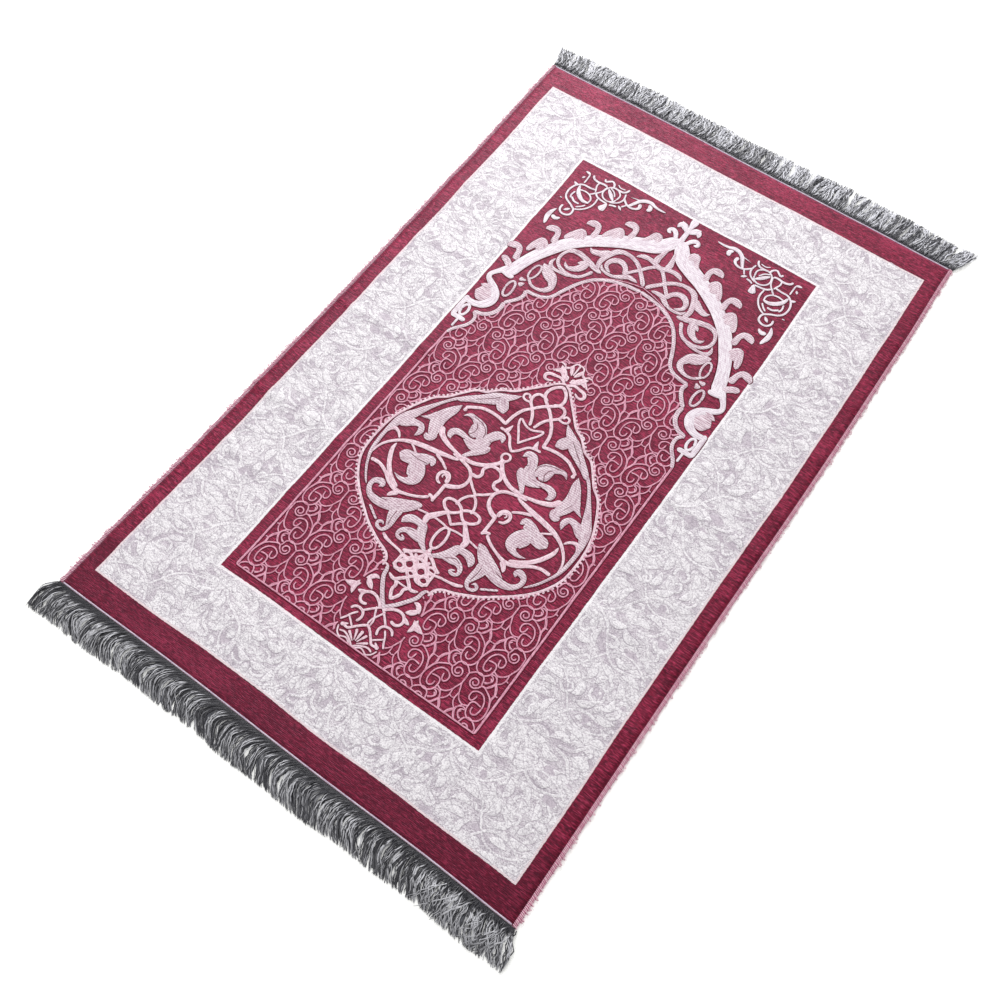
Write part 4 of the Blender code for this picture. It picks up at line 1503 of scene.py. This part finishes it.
def strand_path(x, end, lean, bow, clump, wisp):
    """Points of one strand from the tape to its tip, each with its share of the length."""
    layer = wisp["layer"]
    edge_x, edge_y = lie(x, end * HALF_LENGTH)
    root = edge_y + end * wisp["root"]
    tip = end * wisp["tip"]
    path = []
    for part in range(STRAND_PARTS + 1):
        share = part / STRAND_PARTS
        gather = (clump["middle"] - x) * 0.4 * math.sin(math.pi * min(1.0, share * 1.1))
        aside = drift(x, share, end, lean) + gather + (clump["lean"] + wisp["lean"]) * share ** 1.4
        aside += clump["wave"] * share * math.sin(2 * math.pi * clump["waves"] * share + clump["phase"])
        bowed = eased(bow, x) + BOW_RIPPLE * math.sin(RIPPLE_TURNS * x)
        aside += bowed * math.sin(math.pi * share ** 0.85)
        aside += wisp["crimp"] * math.sin(2 * math.pi * wisp["turns"] * share + wisp["phase"])
        flare = max(0.0, abs(x) - FLARE_START) / FLARE_GROWTH * FLARE_SIZE * share ** 1.6
        arch = math.sin(math.pi * share ** 0.8)
        pz = 0.0004 + TAPE_HEIGHT * (1 - share) ** 2 * (0.6 + 0.5 * layer)
        pz += (0.0008 + 0.0026 * layer + 0.0012 * clump["height"]) * arch + 0.0008 * layer * share
        px = in_reach(edge_x + aside + math.copysign(flare, x))
        path.append((px, root + (tip - root) * share, pz, share))
    return path

# %% Strands and tape
STRAND_SECTION = ((-1.0, 0.0), (0.0, 0.9), (1.0, 0.0))
BED_SECTION = ((-1.0, -0.25), (-0.4, 0.1), (0.4, 0.1), (1.0, -0.25))
TAPE_SECTION = (
    (0.0003, 0.0), (0.0003, 0.0018), (0.0012, 0.0022), (0.0048, 0.0022), (0.0062, 0.0012), (0.0063, 0.0),
)
TAPE_PARTS = 140
STRAND_RUN = 0.05
TIP_THINNESS = 0.35

def lay_strand(work, path, half, tone, seed, paint, section):
    """One strand as a low ridge along its path."""
    for index, (x, y, z, share) in enumerate(path):
        side_x, side_y = sideways(path, index)
        thick = half * (1.0 if index < len(path) - 1 else TIP_THINNESS)
        for across, height in section:
            px, py = in_reach(x + side_x * thick * across), y + side_y * thick * across
            work.add((px, py, max(0.0, z + height * thick)), (x, y, share), (share * STRAND_RUN, tone, seed))
    work.join(len(path), len(section), paint)

def make_tape(work, end):
    """The tape that the yarn hangs from, rounded on top; it is the first thing in its piece."""
    for part in range(TAPE_PARTS + 1):
        x = -HALF_WIDTH + RUG_WIDTH * part / TAPE_PARTS
        laid_x, laid_y = lie(x, end * HALF_LENGTH)
        for away, height in TAPE_SECTION:
            y = laid_y + end * away
            work.add((laid_x, y, height), (laid_x, y, 0.0), (x, 0.2, 0.5))
    work.join(TAPE_PARTS + 1, len(TAPE_SECTION), 1)
    work.faces = [(face[3], *face[:3]) for face in work.faces]  # each face starts at its root corner

print("tape width:", (TAPE_SECTION[-1][0] - TAPE_SECTION[0][0]) / MM, "mm")

# %% Draw a fringe
LOCK_HALF = 0.0024
BRIGHT_TONES, DULL_TONES = (0.65, 1.0), (0.0, 0.4)
STRAND_GAPS = (0.0002, 0.0004)

def make_fringe(name, end, lean, bow, node, silver, shine, crimp, root_shade):
    """Tape, bed of locks and wisps of strands, as one mesh; shine is the share of bright wisps."""
    rng = random.Random(FRINGE_SEED + end)
    work = Work()
    clumps = make_clumps(end)
    make_tape(work, end)
    for lock in range(LOCKS):
        x = -HALF_WIDTH + RUG_WIDTH * (lock + 0.5) / LOCKS
        path = strand_path(x, end, lean, bow, clump_at(clumps, x), comb_wisp(x, end, rng, crimp))
        path = [(px, py, pz * 0.5, share) for px, py, pz, share in path]
        lay_strand(work, path[:-1], LOCK_HALF, rng.random(), rng.random(), 1, BED_SECTION)
    for number in range(WISPS):
        x = -HALF_WIDTH + RUG_WIDTH * (number + rng.random()) / WISPS
        clump = clump_at(clumps, x + rng.gauss(0, 0.0006))
        ruffled = max(0.0, min(1.0, (x - TANGLE_START) / TANGLE_GROWTH)) if end < 0 else 0.0
        knot = 1 + 2.5 * ruffled
        stray = 0.0
        if rng.random() < knot * STRAY_SHARE:
            stray = rng.choice((-knot, 1)) * rng.uniform(*STRAY_LEAN)
        wisp = comb_wisp(x, end, rng, crimp * (1 + 1.6 * ruffled), stray)
        bright = rng.random() < shine + 0.25 * ruffled + 0.7 * (clump["tone"] - 0.5) or stray
        tone = rng.uniform(*(BRIGHT_TONES if bright else DULL_TONES))
        seed = rng.uniform(*root_shade)
        for strand in range(WISP_STRANDS):
            beside = x + (strand - 1) * rng.uniform(*STRAND_GAPS)
            path = strand_path(beside, end, lean, bow, clump, wisp)
            lay_strand(work, path, STRAND_HALF * rng.uniform(0.7, 1.3), tone, seed, 0, STRAND_SECTION)
    fringe = add_piece(name, work, [silver, charcoal_yarn])
    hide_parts(node)
    return report(fringe)

# The head's fringe has more bright wisps and lighter roots than the foot's: painted light at the head,
# painted shade at the foot.
fringe_head = make_fringe("fringe_head_yarn", 1, HEAD_LEAN, HEAD_BOW, "fringe_head",
                          head_silver, 0.54, 0.0016, (0.0, 0.45))
fringe_foot = make_fringe("fringe_foot_yarn", -1, FOOT_LEAN, FOOT_BOW, "fringe_foot",
                          foot_silver, 0.36, 0.0010, (0.25, 0.9))

# %% [markdown]
# ## Light and floor
# The photograph is a shop picture: an even, nearly white floor, soft light from high behind the rug's far
# end, and almost no shadow. A strong sun would pick out the threads better but would throw shadows that
# the photograph hasn't got. So two broad lamps and a white world light it, and the key lamp stands low
# enough to give the fringe and the raised yarn a little shade.

# %% Light and floor
FLOOR_PALE = colour(252, 252, 250)
FLOOR_GLOW = 0.22
FLOOR_HALF = 6
FLOOR_DROP = 0.0002
WORLD_LIGHT = 0.5

def make_floor():
    """A pale floor that glows a little, a hair below the rug."""
    material = start_finish("pale floor", 0.9, 0.0, 0.1, Base_Color=FLOOR_PALE,
                            Emission_Color=FLOOR_PALE, Emission_Strength=FLOOR_GLOW)
    corners = [(FLOOR_HALF * x, FLOOR_HALF * y, -FLOOR_DROP) for x, y in ((-1, -1), (1, -1), (1, 1), (-1, 1))]
    mesh = bpy.data.meshes.new("floor")
    mesh.from_pydata(corners, [], [(0, 1, 2, 3)])
    mesh.materials.append(material)
    floor = bpy.data.objects.new("floor", mesh)
    scene.collection.objects.link(floor)
    return floor

def add_lamp(name, place, aim, size, power):
    """A square lamp that faces a point of the rug."""
    lamp = bpy.data.lights.new(name, "AREA")
    lamp.size = size
    lamp.energy = power
    holder = bpy.data.objects.new(name, lamp)
    holder.location = place
    holder.rotation_euler = (Vector(aim) - Vector(place)).to_track_quat("-Z", "Y").to_euler()
    scene.collection.objects.link(holder)
    return holder

make_floor()
add_lamp("key light", (-1.25, 2.1, 1.7), (0.0, 0.15, 0.0), 1.8, 74)
add_lamp("fill light", (-0.8, -1.0, 2.2), (0.0, -0.3, 0.0), 2.0, 14)
world = bpy.data.worlds.new("studio")
world.use_nodes = True
world.node_tree.nodes["Background"].inputs["Color"].default_value = (1.0, 1.0, 1.0, 1.0)
world.node_tree.nodes["Background"].inputs["Strength"].default_value = WORLD_LIGHT
scene.world = world
scene.view_settings.view_transform = "Standard"
scene.view_settings.look = "None"
print("lights:", [light.name for light in bpy.data.lights])
